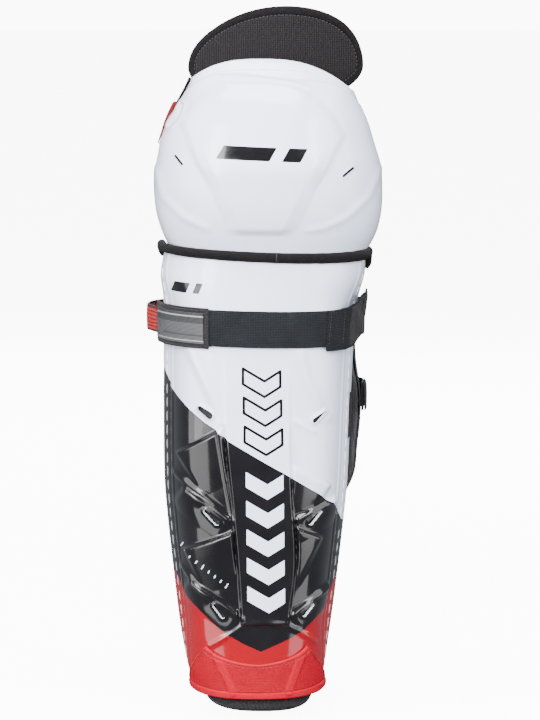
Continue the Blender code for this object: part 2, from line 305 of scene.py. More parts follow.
def roll(name, points, radius, materials, sides=14, closed=False, ups=None):
    """Tube along points, with one radius or one for each point."""
    p = np.asarray(points, float)
    n = len(p)
    r = np.broadcast_to(np.asarray(radius, float), (n,))
    if closed:
        tangent = np.roll(p, -1, 0) - np.roll(p, 1, 0)
    else:
        tangent = np.gradient(p, axis=0)
    tangent /= np.linalg.norm(tangent, axis=1, keepdims=True)
    up = np.tile([0.0, 1.0, 0.02], (n, 1)) if ups is None else np.asarray(ups, float)
    side = np.cross(tangent, up)
    side /= np.linalg.norm(side, axis=1, keepdims=True)
    up = np.cross(side, tangent)
    rings, runs, turns = [], [], []
    run = np.concatenate([[0], np.cumsum(np.linalg.norm(np.diff(p, axis=0), axis=1))])
    for k in range(sides):
        a = 2 * PI * k / sides
        rings.append(p + side * (r * math.cos(a))[:, None] + up * (r * math.sin(a))[:, None])
        runs.append(run)
        turns.append(np.full(n, a * float(r.mean())))
    verts = np.stack(rings, 1).reshape(-1, 3)
    faces = []
    for i in range(n if closed else n - 1):
        j = (i + 1) % n
        for k in range(sides):
            m = (k + 1) % sides
            faces.append([i * sides + k, i * sides + m, j * sides + m, j * sides + k])
    if not closed:
        faces.append([k for k in range(sides)][::-1])
        faces.append([(n - 1) * sides + k for k in range(sides)])
    piece = make(name, verts, faces, materials,
                 attrs={"run": np.stack(runs, 1), "cross": np.stack(turns, 1)}, angle=50)
    fix = bmesh.new()
    fix.from_mesh(piece.data)
    bmesh.ops.recalc_face_normals(fix, faces=fix.faces)
    fix.to_mesh(piece.data)
    fix.free()
    return piece


def along_run(at, run, values):
    """The row of values at a length along a path."""
    return np.array([np.interp(at, run, values[:, k]) for k in range(3)])


def stitches(name, points, out, dash, pitch, width, material):
    """One mesh of separate thread dashes along a path, with out the way they face."""
    p = np.asarray(points, float)
    run = np.concatenate([[0], np.cumsum(np.linalg.norm(np.diff(p, axis=0), axis=1))])
    verts, faces = [], []
    count = int((run[-1] - dash) / pitch) + 1
    rings = ((-0.5, 0.0), (-0.42, 0.62), (-0.2, 1.0), (0.2, 1.0), (0.42, 0.62), (0.5, 0.0))
    for i in range(count):
        mid = dash / 2 + i * pitch
        base = len(verts)
        for a, w in rings:
            at = mid + a * dash
            c = along_run(at, run, p)
            n = along_run(at, run, out)
            along = along_run(at + 0.3, run, p) - along_run(at - 0.3, run, p)
            along /= np.linalg.norm(along) + 1e-9
            across = np.cross(along, n)
            across /= np.linalg.norm(across) + 1e-9
            arch = (1 - (2 * a) ** 2) * 0.25 * width
            for k in range(6):
                b = PI * k / 3
                verts.append(c + across * (width / 2 * w * math.cos(b) + 1e-4)
                             + n * (arch + width * 0.42 * w * math.sin(b)))
        for ring in range(len(rings) - 1):
            for k in range(6):
                m = (k + 1) % 6
                a0 = base + ring * 6
                faces.append([a0 + k, a0 + m, a0 + 6 + m, a0 + 6 + k])
    return make(name, verts, faces, [material], angle=80)


def dress(piece, body, node=None):
    """Say which body a piece moves with and the node it replaces."""
    if body:
        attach(piece, body)
    if node:
        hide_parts(node)
    return piece


def sew(name, path, dash, pitch, width, thread, body):
    """Stitches along a path of points with their outward directions."""
    points, out = path
    return dress(stitches(name, points, out, dash, pitch, width, thread), body)


# ---- materials -----------------------------------------------------------------------
class Nodes:
    """Short-hand for one material's node tree."""

    def __init__(self, name, colour, roughness, **sockets):
        self.material = bpy.data.materials.new(name)
        self.material.use_nodes = True
        self.tree = self.material.node_tree
        self.shader = self.tree.nodes["Principled BSDF"]
        self.shader.inputs["Base Color"].default_value = (*colour, 1)
        self.shader.inputs["Roughness"].default_value = roughness
        for key, value in sockets.items():
            socket = self.shader.inputs[key.replace("_", " ")]
            socket.default_value = value

    def plug(self, socket, value):
        if isinstance(value, (int, float)):
            socket.default_value = value
        elif isinstance(value, tuple):
            socket.default_value = (*value, 1) if len(value) == 3 else value
        else:
            self.tree.links.new(value, socket)

    def math(self, kind, a, b=0.0):
        node = self.tree.nodes.new("ShaderNodeMath")
        node.operation = kind
        for socket, value in zip(node.inputs, (a, b)):
            self.plug(socket, value)
        return node.outputs[0]

    def place(self):
        return self.tree.nodes.new("ShaderNodeTexCoord").outputs["Object"]

    def axes(self):
        split = self.tree.nodes.new("ShaderNodeSeparateXYZ")
        self.plug(split.inputs[0], self.place())
        return split.outputs

    def attribute(self, name):
        node = self.tree.nodes.new("ShaderNodeAttribute")
        node.attribute_name = name
        return node.outputs["Fac"]

    def inside(self, name):
        """1 inside a print and 0 outside, from its signed distance in mm, with a crisp border."""
        return self.ramp(self.attribute(name), 0.12, -0.12)

    def noise(self, scale, detail):
        node = self.tree.nodes.new("ShaderNodeTexNoise")
        node.inputs["Scale"].default_value = scale
        node.inputs["Detail"].default_value = detail
        node.inputs["Roughness"].default_value = 0.55
        self.plug(node.inputs["Vector"], self.place())
        return node.outputs["Fac"]

    def ramp(self, value, a, b, low=0.0, high=1.0):
        node = self.tree.nodes.new("ShaderNodeMapRange")
        for socket, number in zip(node.inputs, (value, a, b, low, high)):
            self.plug(socket, number)
        return node.outputs[0]

    def mix(self, factor, a, b):
        node = self.tree.nodes.new("ShaderNodeMix")
        node.data_type = "RGBA"
        self.plug(node.inputs[0], factor)
        self.plug(node.inputs[6], a)
        self.plug(node.inputs[7], b)
        return node.outputs[2]

    def wave(self, value, pitch):
        """Sine of a length, one cycle for each pitch, from -1 to 1."""
        return self.math("SINE", self.math("MULTIPLY", value, 2 * PI / pitch))

    def bump(self, height, distance):
        node = self.tree.nodes.new("ShaderNodeBump")
        node.inputs["Strength"].default_value = 1.0
        node.inputs["Distance"].default_value = distance
        self.plug(node.inputs["Height"], height)
        self.tree.links.new(node.outputs[0], self.shader.inputs["Normal"])

    def colour(self, value):
        self.plug(self.shader.inputs["Base Color"], value)

    def rough(self, value):
        self.plug(self.shader.inputs["Roughness"], value)


WHITE = (0.75, 0.80, 0.96)
BLACK = (0.0035, 0.003, 0.004)
RED = (0.275, 0.0, 0.0065)


WHITE_SHADE = (0.71, 0.76, 0.93)


def moulded(n, patches, low, high, waves):
    """Uneven gloss and the slight waviness of a moulded surface."""
    n.rough(n.ramp(n.noise(patches, 4.0), 0.35, 0.75, low, high))
    n.bump(n.math("ADD", n.noise(waves, 2.0), n.math("MULTIPLY", n.noise(420.0, 2.0), 0.012)), 0.0002)


def shell_plastic():
    """Glossy plastic: white, black and red prints with crisp borders."""
    n = Nodes("shell_plastic", WHITE, 0.16, Coat_Weight=0.5, Coat_Roughness=0.06)
    white = n.ramp(n.attribute("white"), -0.12, 0.12)
    red = n.ramp(n.attribute("red"), -0.12, 0.12)
    tone = n.ramp(n.noise(9.0, 2.0), 0.3, 0.7)
    pale = n.mix(tone, WHITE, WHITE_SHADE)
    dark = n.mix(n.ramp(n.noise(30.0, 3.0), 0.4, 0.7), BLACK, (0.006, 0.005, 0.0065))
    ground = n.mix(white, dark, pale)
    ground = n.mix(red, ground, n.mix(tone, RED, (0.25, 0.0, 0.006)))
    ground = n.mix(n.inside("mark"), ground, WHITE)
    n.colour(n.mix(n.inside("line"), ground, BLACK))
    moulded(n, 60.0, 0.11, 0.20, 26.0)
    return n.material


def cap_plastic():
    n = Nodes("cap_plastic", WHITE, 0.18, Coat_Weight=0.5, Coat_Roughness=0.07)
    ground = n.mix(n.ramp(n.noise(8.0, 2.0), 0.3, 0.7), WHITE, WHITE_SHADE)
    n.colour(n.mix(n.inside("mark"), ground, BLACK))
    moulded(n, 55.0, 0.13, 0.24, 22.0)
    return n.material


def plain(name, colour, roughness, grain, depth=0.00008, **sockets):
    n = Nodes(name, colour, roughness, **sockets)
    fleck = n.noise(grain, 4.0)
    lighter = tuple(min(c * 1.5 + 0.004, 1) for c in colour)
    n.colour(n.mix(n.ramp(fleck, 0.35, 0.7), colour, lighter))
    n.rough(n.ramp(fleck, 0.3, 0.7, roughness - 0.06, roughness + 0.05))
    n.bump(fleck, depth)
    return n.material


def ribbed_fabric(name, colour, pitch):
    """Fine vertical ribs with a woven break-up, for the thigh guard's panel."""
    n = Nodes(name, colour, 0.88, Sheen_Weight=0.03, Sheen_Roughness=0.5, Specular_IOR_Level=0.05)
    axis = n.axes()
    rib = n.wave(axis[0], pitch)
    rung = n.wave(axis[2], pitch * 0.8)
    height = n.math("ADD", rib, n.math("MULTIPLY", rung, 0.45))
    fleck = n.noise(700.0, 3.0)
    height = n.math("ADD", height, n.math("MULTIPLY", fleck, 0.8))
    # Painted shade and highlight: the colour follows the rib height, 0.55 of the colour in the hollows and
    # twice it on the crests.
    light = tuple(c * 2.0 for c in colour)
    n.colour(n.mix(n.ramp(height, -1.0, 2.0), tuple(c * 0.55 for c in colour), light))
    n.bump(height, 0.00018)
    return n.material


def knit(name, colour, pitch, sheen, lift=1.9):
    """Plain woven or knitted cover, the same scale from every side."""
    n = Nodes(name, colour, 0.88, Sheen_Weight=sheen, Sheen_Roughness=0.5, Specular_IOR_Level=0.05)
    axis = n.axes()
    a = n.math("ADD", axis[0], axis[1])
    b = n.math("SUBTRACT", axis[0], axis[1])
    weave = n.math("MULTIPLY", n.wave(a, pitch), n.wave(axis[2], pitch))
    weave = n.math("ADD", weave, n.math("MULTIPLY", n.wave(b, pitch * 1.1), 0.5))
    fleck = n.noise(620.0, 3.0)
    height = n.math("ADD", weave, n.math("MULTIPLY", fleck, 1.1))
    wide = n.ramp(n.noise(24.0, 3.0), 0.35, 0.7)
    dark = n.mix(wide, tuple(c * 0.62 for c in colour), tuple(c * 0.85 for c in colour))
    # Partly random fleck, partly painted highlight: the raised threads of the weave are coloured lighter
    # than the hollows.
    tint = n.math("ADD", n.math("MULTIPLY", weave, 0.3), n.math("MULTIPLY", fleck, 1.5))
    n.colour(n.mix(n.ramp(tint, 0.2, 1.3), dark, tuple(c * lift for c in colour)))
    n.bump(height, 0.0001)
    return n.material


def webbing(name, colour, light):
    """Narrow woven tape: staggered bumps along its run."""
    n = Nodes(name, colour, 0.82, Sheen_Weight=0.02, Sheen_Roughness=0.4, Specular_IOR_Level=0.08)
    run = n.attribute("run")
    cross = n.attribute("cross")
    a = n.wave(n.math("ADD", run, cross), 2.295)
    b = n.wave(n.math("SUBTRACT", run, cross), 2.295)
    weave = n.math("MULTIPLY", a, b)
    fleck = n.noise(900.0, 2.0)
    height = n.math("ADD", weave, n.math("MULTIPLY", fleck, 0.7))
    # Painted highlight and shade: the raised weave is coloured lighter and the hollows darker, with random
    # patches over it.
    patch = n.ramp(n.noise(55.0, 3.0), 0.35, 0.7, 0.75, 1.15)
    tone = n.math("MULTIPLY", n.ramp(height, -0.7, 1.3), patch)
    n.colour(n.mix(tone, colour, light))
    n.bump(height, 0.00022)
    return n.material


def elastic():
    n = Nodes("red_elastic", (0.3, 0.01, 0.01), 0.7, Sheen_Weight=0.05, Specular_IOR_Level=0.15)
    run = n.attribute("run")
    cross = n.attribute("cross")
    rib = n.wave(cross, 2.6)
    thread = n.wave(run, 0.9)
    height = n.math("ADD", rib, n.math("MULTIPLY", thread, 0.4))
    # Painted shade: the colour follows the rib height, dark red in the hollows between ribs and bright red
    # on them.
    body = n.mix(n.ramp(height, -1.2, 1.2), (0.14, 0.001, 0.002), (0.36, 0.006, 0.008))
    edge = n.ramp(n.math("ABSOLUTE", cross), 7.7, 8.0)
    n.colour(n.mix(edge, body, (0.012, 0.007, 0.008)))
    n.bump(height, 0.0003)
    return n.material


def patch_rubber():
    """Matte textured red patch: a fine square grid."""
    n = Nodes("patch_rubber", (0.4, 0.01, 0.015), 0.6, Specular_IOR_Level=0.15)
    run = n.attribute("run")
    cross = n.attribute("cross")
    cell = n.math("MAXIMUM", n.wave(run, 1.15), n.wave(cross, 1.15))
    flat = n.attribute("flat")
    height = n.math("MULTIPLY", n.ramp(cell, 0.2, 0.95), flat)
    fleck = n.noise(500.0, 3.0)
    base = n.mix(n.ramp(fleck, 0.3, 0.7), (0.33, 0.0, 0.010), (0.38, 0.0, 0.014))
    # Painted shade: the sunk grid lines are coloured darker.
    n.colour(n.mix(n.math("MULTIPLY", height, 0.45), base, (0.22, 0.0, 0.006)))
    n.rough(n.ramp(fleck, 0.3, 0.7, 0.46, 0.6))
    n.bump(n.math("SUBTRACT", n.math("MULTIPLY", fleck, 0.3), height), 0.00025)
    return n.material


def hook_tape():
    n = Nodes("hook_tape", (0.016, 0.016, 0.018), 0.8)
    axis = n.axes()
    a = n.math("ADD", axis[0], axis[1])
    height = n.math("MULTIPLY", n.wave(a, 0.0016), n.wave(axis[2], 0.0016))
    # Painted highlight: the raised hooks are coloured lighter than the hollows between them.
    n.colour(n.mix(n.ramp(height, 0.0, 1.0), (0.010, 0.010, 0.012), (0.05, 0.05, 0.055)))
    n.bump(height, 0.0006)
    return n.material


def label_print():
    """Moulded label: pale stripes, a paler field and a dark slanted key line, no lettering."""
    n = Nodes("label_print", (0.1, 0.1, 0.1), 0.55, Specular_IOR_Level=0.25)
    run = n.attribute("run")
    cross = n.attribute("cross")
    fleck = n.noise(500.0, 3.0)
    stripe = n.wave(cross, 0.9)
    dark = n.mix(n.ramp(fleck, 0.3, 0.7), (0.020, 0.020, 0.022), (0.036, 0.036, 0.039))
    field = n.mix(n.ramp(stripe, -1, 1), (0.030, 0.030, 0.033), (0.085, 0.085, 0.09))
    upper = n.ramp(cross, 3.2, 3.4)
    base = n.mix(upper, field, dark)
    bar = n.math("LESS_THAN", n.math("ABSOLUTE", n.math("SUBTRACT", cross, 8.2)), 0.45)
    base = n.mix(bar, base, (0.25, 0.25, 0.26))
    bar = n.math("LESS_THAN", n.math("ABSOLUTE", n.math("ADD", cross, 9.0)), 0.4)
    base = n.mix(bar, base, (0.25, 0.25, 0.26))
    slope = n.math("ADD", cross, n.math("MULTIPLY", n.math("MINIMUM", run, 12.0), 0.75))
    key = n.math("LESS_THAN", n.math("ABSOLUTE", n.math("SUBTRACT", slope, 4.0)), 0.6)
    low = n.math("LESS_THAN", cross, 3.0)
    base = n.mix(n.math("MULTIPLY", key, low), base, (0.03, 0.03, 0.035))
    n.colour(base)
    n.bump(n.math("ADD", n.math("MULTIPLY", fleck, 0.4), stripe), 0.0001)
    return n.material


def thread(name, colour, roughness):
    return plain(name, colour, roughness, 1500.0, 0.00006)


SHELL_MAT = shell_plastic()
CAP_MAT = cap_plastic()
CUT_MAT = plain("cut_plastic", (0.62, 0.66, 0.78), 0.4, 80.0)
FOAM_MAT = plain("closed_foam", (0.022, 0.022, 0.025), 0.95, 900.0, 0.0002, Specular_IOR_Level=0.1)
PLATE_MAT = plain("sheet_plastic", (0.018, 0.018, 0.020), 0.42, 200.0, 0.00005)
RIB_MAT = ribbed_fabric("ribbed_fabric", (0.0094, 0.0083, 0.0089), 0.0016)
KNIT_MAT = knit("charcoal_binding", (0.0055, 0.0048, 0.0052), 0.0009, 0.02)
COVER_MAT = knit("black_cover", (0.013, 0.0122, 0.0134), 0.0014, 0.05)
# Painted light: the wing pad's cover is a lighter copy of the black cover, so its inner face in shade does
# not go pure black.
LINING_MAT = knit("wing_lining", (0.021, 0.0205, 0.022), 0.0014, 0.12, 1.7)
MESH_MAT = knit("liner_mesh", (0.0165, 0.016, 0.0172), 0.0026, 0.08, 1.7)
WEB_MAT = webbing("black_webbing", (0.0042, 0.0045, 0.0054), (0.0185, 0.020, 0.023))
RED_MAT = elastic()
PATCH_MAT = patch_rubber()
HOOK_MAT = hook_tape()
LABEL_MAT = label_print()
PALE_THREAD = thread("pale_thread", (0.24, 0.24, 0.255), 0.7)
WHITE_THREAD = thread("white_thread", (0.78, 0.78, 0.80), 0.7)
PINK_THREAD = thread("pink_thread", (0.60, 0.26, 0.28), 0.7)
DARK_THREAD = thread("dark_thread", (0.03, 0.012, 0.014), 0.8)
BLACK_THREAD = thread("black_thread", (0.014, 0.014, 0.016), 0.8)


# ---- padding -------------------------------------------------------------------------
def evaluated(piece):
    graph = bpy.context.evaluated_depsgraph_get()
    return bpy.data.meshes.new_from_object(piece.evaluated_get(graph))


def spots(mesh):
    co = np.empty(len(mesh.vertices) * 3, np.float32)
    mesh.vertices.foreach_get("co", co)
    return co.reshape(-1, 3).astype(float)


def puff(piece, voxel, pressure, most):
    """Swell a pad with a short run of pressurised cloth, then cap how far each point moved."""
    step = piece.modifiers.new("Even", "REMESH")
    step.mode = "VOXEL"
    step.voxel_size = voxel * MM
    even = evaluated(piece)
    piece.modifiers.clear()
    piece.data = even
    rest = spots(even)
    step = piece.modifiers.new("Puff", "CLOTH")
    step.settings.use_pressure = True
    step.settings.uniform_pressure_force = pressure
    step.settings.effector_weights.gravity = 0
    step.settings.quality = 5
    step.point_cache.frame_start = 1
    step.point_cache.frame_end = 20
    scene = bpy.context.scene
    for frame_number in range(1, 21):
        scene.frame_set(frame_number)
    swollen = evaluated(piece)
    move = spots(swollen) - rest
    piece.modifiers.clear()
    scene.frame_set(1)
    size = np.linalg.norm(move, axis=1, keepdims=True)
    limit = most * MM
    move *= limit * np.tanh(size / limit) / np.maximum(size, 1e-9)
    piece.data.vertices.foreach_set("co", (rest + move).astype(np.float32).ravel())
    bpy.data.meshes.remove(swollen)
    step = piece.modifiers.new("Soft", "SUBSURF")
    step.levels = 1
    step.render_levels = 1
    soft = evaluated(piece)
    piece.modifiers.clear()
    piece.data = soft
    soft.polygons.foreach_set("use_smooth", np.ones(len(soft.polygons), bool))


def press(piece, channel):
    """Sink sewn channels: channel gives a depth in mm for points and their outward normals."""
    mesh = piece.data
    mesh.update()
    co = spots(mesh)
    out = np.empty(len(mesh.vertices) * 3, np.float32)
    mesh.vertices.foreach_get("normal", out)
    out = out.reshape(-1, 3)
    depth = channel(co / MM, out)
    mesh.vertices.foreach_set("co", (co - out * depth[:, None] * MM).astype(np.float32).ravel())
    mesh.update()


# ---- shin shell ----------------------------------------------------------------------
WHITE_LINE = ((-70, 246), (-65.5, 238), (-59, 228), (-48.5, 218), (-37.5, 209.5), (-27, 203),
              (-20.5, 197), (12, 177.5), (16.5, 175), (22, 171.5), (42, 158), (51.5, 149.5),
              (57, 142), (60, 134), (70, 124))
RED_LINE = ((-70, 108), (-60, 95.5), (-54, 86.5), (-47, 79), (-27, 60.5), (-12, 51.3),
            (2, 44.8), (23, 54), (33.5, 60.5), (47.5, 73.5), (57, 94), (60, 100), (70, 108))
COLUMN_LEFT = ((60, -10.0), (70, -10.3), (110, -12.8), (153, -16.4), (197, -20.6), (260, -23))
COLUMN_RIGHT = ((60, 20), (70, 20.5), (110, 24.6), (168, 21.6), (260, 21))
VENTS = (((-40.5, 219.0), (-34.0, 214.5), 2.0, 2.7), ((46.5, 216.0), (40.0, 210.5), 1.0, 1.9),
         ((-36.5, 146.0), (-28.5, 138.5), 1.5, 2.1), ((43.0, 145.0), (36.5, 138.0), 1.0, 1.9),
         ((-30.5, 78.0), (-24.5, 70.5), 1.3, 1.7), ((37.5, 77.5), (32.0, 71.0), 1.1, 1.6))
WEDGES = (((-54, 186), (-25, 204), 3.4, 34), ((-50, 160), (-21, 141), 2.4, 18),
          ((-49, 117), (-17, 131), 3.3, 34), ((-46, 93), (-14, 73), 2.2, 17),
          ((23, 178), (48, 163), 2.4, 24), ((25, 140), (52, 150), 2.2, 16),
          ((25, 134), (42, 126), 3.0, 48), ((25, 72), (52, 90), 2.1, 16))
RIBS = ((((-61, 172), (-38, 157), (-18, 139.5)), 1.2, 2.0),
        (((53, 152), (25, 140.5)), 1.0, 1.8),
        (((-59, 108), (-38, 86.5), (-11, 69.5)), 1.1, 1.9),
        (((59, 97), (44, 86), (22, 70)), 1.0, 1.8),
        (((-34, 48), (-18.5, 58), (-9.3, 65), (5.7, 66.6), (21.4, 63.5), (30, 58.5), (40, 50)),
         1.1, 1.9),
        (((-27, 204), (-23, 170), (-18, 141)), 0.9, 1.3),
        (((-48, 262), (-40, 246), (-32, 229), (-26, 210)), 2.0, 4.0),
        (((30, 258), (34, 241), (42, 223), (48, 212)), 1.8, 3.6),
        (((27, 210), (39, 203)), 0.7, 2.2))
SHELL_MARK = (((-61.5, 300.2), (-50.5, 300.0), (-47.5, 307.4), (-58.5, 307.6)),
              ((-46.0, 300.2), (-41.4, 300.0), (-38.4, 307.4), (-43.0, 307.6)))
CHEVRON = ((-13, 10.5), (2, 1.5), (13, 8.5), (13, -2.5), (2, -9.5), (-13, -0.5))


def shell_relief(x, z, u, vent):
    left = station(COLUMN_LEFT, z)
    right = station(COLUMN_RIGHT, z)
    inside = np.minimum(x - left, right - x)
    fade = smooth(z, 62.5, 66.5) * (1 - 0.55 * smooth(z, 190, 215)) * (1 - smooth(z, 225, 262))
    h = 2.1 * smooth(inside, -2.8, 0.0) * fade
    h = h + 0.45 * ridge(inside, 1.1) * fade
    for p, q, rise, reach in WEDGES:
        along, below = to_line(x, z, p, q)
        size = math.hypot(q[0] - p[0], q[1] - p[1])
        window = smooth(along * size, -5, 1) * (1 - smooth(along * size, size - 1, size + 5))
        face = np.where(below > 0, 1 - below / reach, 1 + below / 2.6)
        h = h + 1.25 * rise * np.clip(face, 0, 1) * window * (1 - smooth(inside, -4.5, -2.5))
    for path, rise, wide in RIBS:
        h = np.maximum(h, 0) + rise * ridge(to_path(x, z, path), wide)
    h = h * (1 - 0.6 * ridge(vent, 6.0)) + 1.0 * ridge(np.maximum(vent, 0), 1.3)
    edge = np.abs(u)
    h = h * (1 - smooth(edge, 0.72, 0.78)) + 0.5 * smooth(edge, 0.745, 0.765)
    h = h - 1.4 * smooth(edge, 0.795, 0.812)
    near = np.minimum(z - 12.0, np.minimum(326.0 - z, (1 - edge) * 92.0))
    return h - 0.5 * np.exp(-near / 0.8)


def top_edge(u):
    """Height of the shell's top edge: it falls a little towards +X."""
    return 323.5 - 2.6 * np.sin(u * PI / 2)


def chevron(x, z):
    """Corners of one chevron of the column's row."""
    return [(x + a, z + b) for a, b in CHEVRON]


def tick(k):
    """One short slanted tick of the row at the lower left, every fourth one longer."""
    x, z = -54.0 + 4.0 * k, 119.0 - 3.3 * k
    tall = 1.7 if k % 4 == 0 else 1.0
    return (x - 0.5 * tall, z - 0.9 * tall), (x + 0.5 * tall, z + 0.9 * tall), 0.42, 0.42


def build_shell():
    s, t = grid(300, 400)
    side = 2 * s - 1
    u = side * (0.80 + 0.20 * np.abs(side) ** 2)
    low = 12.2 + 0 * u
    z = low + (top_edge(u) - low) * t
    u, z, x, vent, hole = cut_slots(shell, VENTS, u, z, 0.62, 0.3, 0.12)
    outer = lifted(shell, u, z, shell_relief(x, z, u, vent))
    inner = lifted(shell, u, z, -2.8 + 1.9 * ridge(np.maximum(vent, 0), 2.5))
    filled = marks(x, z, [chevron(4.6 + 0.25 * k, 165 - 20.5 * k) for k in range(5)])
    open_ones = [polygon(x, z, chevron(2.6 + 0.6 * k, 238 - 20.5 * k)) for k in range(3)]
    outlined = np.abs(np.minimum.reduce(open_ones)) - 0.95
    ticks = slot_field([tick(k) for k in range(9)], x, z)
    attrs = {"white": z - np.interp(x, *zip(*WHITE_LINE)), "red": np.interp(x, *zip(*RED_LINE)) - z,
             "mark": np.minimum(filled, ticks),
             "line": np.minimum(outlined, marks(x, z, SHELL_MARK))}
    piece = solid("shin_shell_skin", outer, inner, [SHELL_MAT, CUT_MAT], hole, attrs, 50)
    dress(piece, "shin", "shin_shell")


def surface_line(surface, us, zs, lift):
    """Points and outward directions along a line on a surface."""
    us, zs = np.broadcast_arrays(np.asarray(us, float), np.asarray(zs, float))
    return lifted(surface, us, zs, lift + 0 * us), normals(surface, us, zs)


def shell_stitching():
    for side, word in ((-1, "medial"), (1, "lateral")):
        cuts = ((16, 84, PINK_THREAD), (86, 236, PALE_THREAD), (238, 318, WHITE_THREAD))
        if side > 0:
            cuts = ((16, 88, PINK_THREAD), (90, 134, PALE_THREAD), (136, 318, WHITE_THREAD))
        for low, high, thread in cuts:
            z = np.linspace(low, high, 120)
            points, out = surface_line(shell, side * 0.885, z, -0.9)
            piece = stitches("flange_stitch_%s_%d" % (word, low), points, out, 7.4, 9.9, 0.72, thread)
            dress(piece, "shin")


def top_roll():
    u = np.linspace(-1, 1, 90)
    base = lifted(shin, u, 326.0 + 0 * u, 0.7 + 0 * u)
    base[:, 2] = top_edge(u) + 4.0 - 0.7 * np.cos(u * PI / 2)
    left = base[0] + np.array([[1.2, 6.2, -8.5], [0.3, 5.2, -5.0], [-0.1, 2.8, -1.6]])
    right = base[-1] + np.array([[-0.2, 2.4, -1.4], [-0.4, 4.6, -4.8], [-0.6, 5.6, -9.0],
                                 [-1.4, 5.8, -12.5]])
    points = np.concatenate([left, base, right])
    fine = spline(points, np.linspace(0, 1, 200))
    size = np.linspace(3.3, 3.9, 200)
    size[:5] *= (0.55, 0.78, 0.9, 0.96, 0.99)
    size[-5:] *= (0.99, 0.96, 0.9, 0.78, 0.55)
    size *= 1 + 0.018 * np.sin(np.arange(200) * 0.55) * np.sin(np.arange(200) * 0.13)
    piece = roll("shin_top_roll", fine, size, [KNIT_MAT], 18)
    dress(piece, "shin", "shin_shell_binding")
    seam = fine[106:107] + np.array([[0.0, 0.0, 0.0]])
    a = np.linspace(0, 2 * PI, 25)[:-1]
    ring = seam + np.stack([0 * a, 3.5 * np.cos(a), 3.5 * np.sin(a)], -1)
    ring = roll("shin_top_roll_seam", ring, 0.42, [BLACK_THREAD], 8, closed=True,
                ups=np.tile([1.0, 0, 0], (24, 1)))
    dress(ring, "shin")


build_shell()
shell_stitching()
top_roll()


# ---- impact foam and toe patch -------------------------------------------------------
def build_foam():
    s, t = grid(90, 110)
    u = (2 * s - 1) * 0.975
    z = 15.5 + 285.0 * t
    edge = rim_distance(s, t, 175, 285)
    soft = 0.9 * np.exp(-edge / 1.4)
    x = shell(u, z)[..., 0]
    slots = np.zeros(x.shape)
    for k in range(6):
        for a in (-0.45, 0.45):
            at = ((u - a) * 88, z - 45.0 - 44.0 * k)
            slots = np.maximum(slots, 1 - smooth(np.hypot(at[0], at[1] * 0.5), 4.5, 6.0))
    outer = lifted(shell, u, z, -3.3 - soft)
    inner = lifted(shell, u, z, -8.0 + soft + 2.2 * slots)
    piece = solid("impact_foam_sheet", outer, inner, [FOAM_MAT])
    dress(piece, "shin", "shin_impact_foam")


def toe_outline(side, t):
    z1 = 35.5 + 12.5 * np.abs(side) ** 1.6
    z0 = 10.2 + 3.8 * np.abs(side) ** 2.5
    z = z0 + (z1 - z0) * t
    edge = 0.96 - 0.50 * np.clip((z - 10.0) / 38.0, 0, 1) ** 1.1
    return side * edge + 0.012, z


def build_patch():
    s, t = grid(170, 70)
    u, z = toe_outline(2 * s - 1, t)
    x = shell(u, z)[..., 0]
    rim = np.minimum(np.minimum(s, 1 - s) * 118, (1 - t) * 34)
    foot = t * 34
    stitch_line = ridge(rim - 2.6, 0.55) * (foot > 3)
    hem = smooth(5.6 - foot, -0.4, 0.4)
    bars = np.zeros(x.shape)
    for p, q in (((-30, 44), (-17, 15)), ((31, 44), (21, 15))):
        bars = np.maximum(bars, 1 - smooth(to_path(x, z, (p, q)), 2.2, 3.0))
    h = 1.9 + 0.55 * bars + 0.5 * hem - 0.45 * stitch_line
    h = h - 0.6 * np.exp(-np.minimum(rim, foot) / 0.5)
    h = h - 0.5 * ridge(foot - 6.0, 0.4)
    outer = lifted(shell, u, z, h)
    inner = lifted(shell, u, z, 0.55 + 0 * u)
    flat = smooth(rim, 3.6, 4.2) * (1 - smooth(6.2 - foot, -0.4, 0.4)) * (1 - 0.75 * bars)
    attrs = {"run": x, "cross": z, "flat": flat}
    piece = solid("toe_patch", outer, inner, [PATCH_MAT], attrs=attrs)
    dress(piece, "shin", "foot_patch")
    side = np.linspace(-0.955, 0.955, 200)
    u, z = toe_outline(side, 1 - 2.6 / 34 + 0 * side)
    points, out = surface_line(shell, u, z, 1.75)
    sew("toe_stitch_top", (points, out), 1.9, 2.7, 0.75, DARK_THREAD, "shin")
    for end, word in ((-1, "medial"), (1, "lateral")):
        t = np.linspace(0.16, 0.93, 60)
        u, z = toe_outline(end * 0.955 + 0 * t, t)
        points, out = surface_line(shell, u, z, 1.75)
        sew("toe_stitch_" + word, (points, out), 1.9, 2.7, 0.75, DARK_THREAD, "shin")


build_foam()
build_patch()


# ---- liner ---------------------------------------------------------------------------
def liner_reach(z):
    return 0.62 + 0.26 * (1 - smooth(z, 6, 60))


def liner_lift(z):
    """The pad's middle lies under the foam, and comes forward below it."""
    return -15.0 + 6.5 * (1 - smooth(z, 3, 26))


def liner_channels(p, out):
    side = np.abs(p[:, 0] - station(CENTRE, p[:, 2])) / 36.0
    line = seams(p[:, 2] - 9.0 * side, 36.0, 38.0, 7, 1.7)
    line = np.maximum(line, ridge((side - 0.56) * 36, 1.6))
    return 1.9 * line * smooth(out[:, 1], 0.1, 0.5) * (1 - smooth(side, 0.9, 1.0))


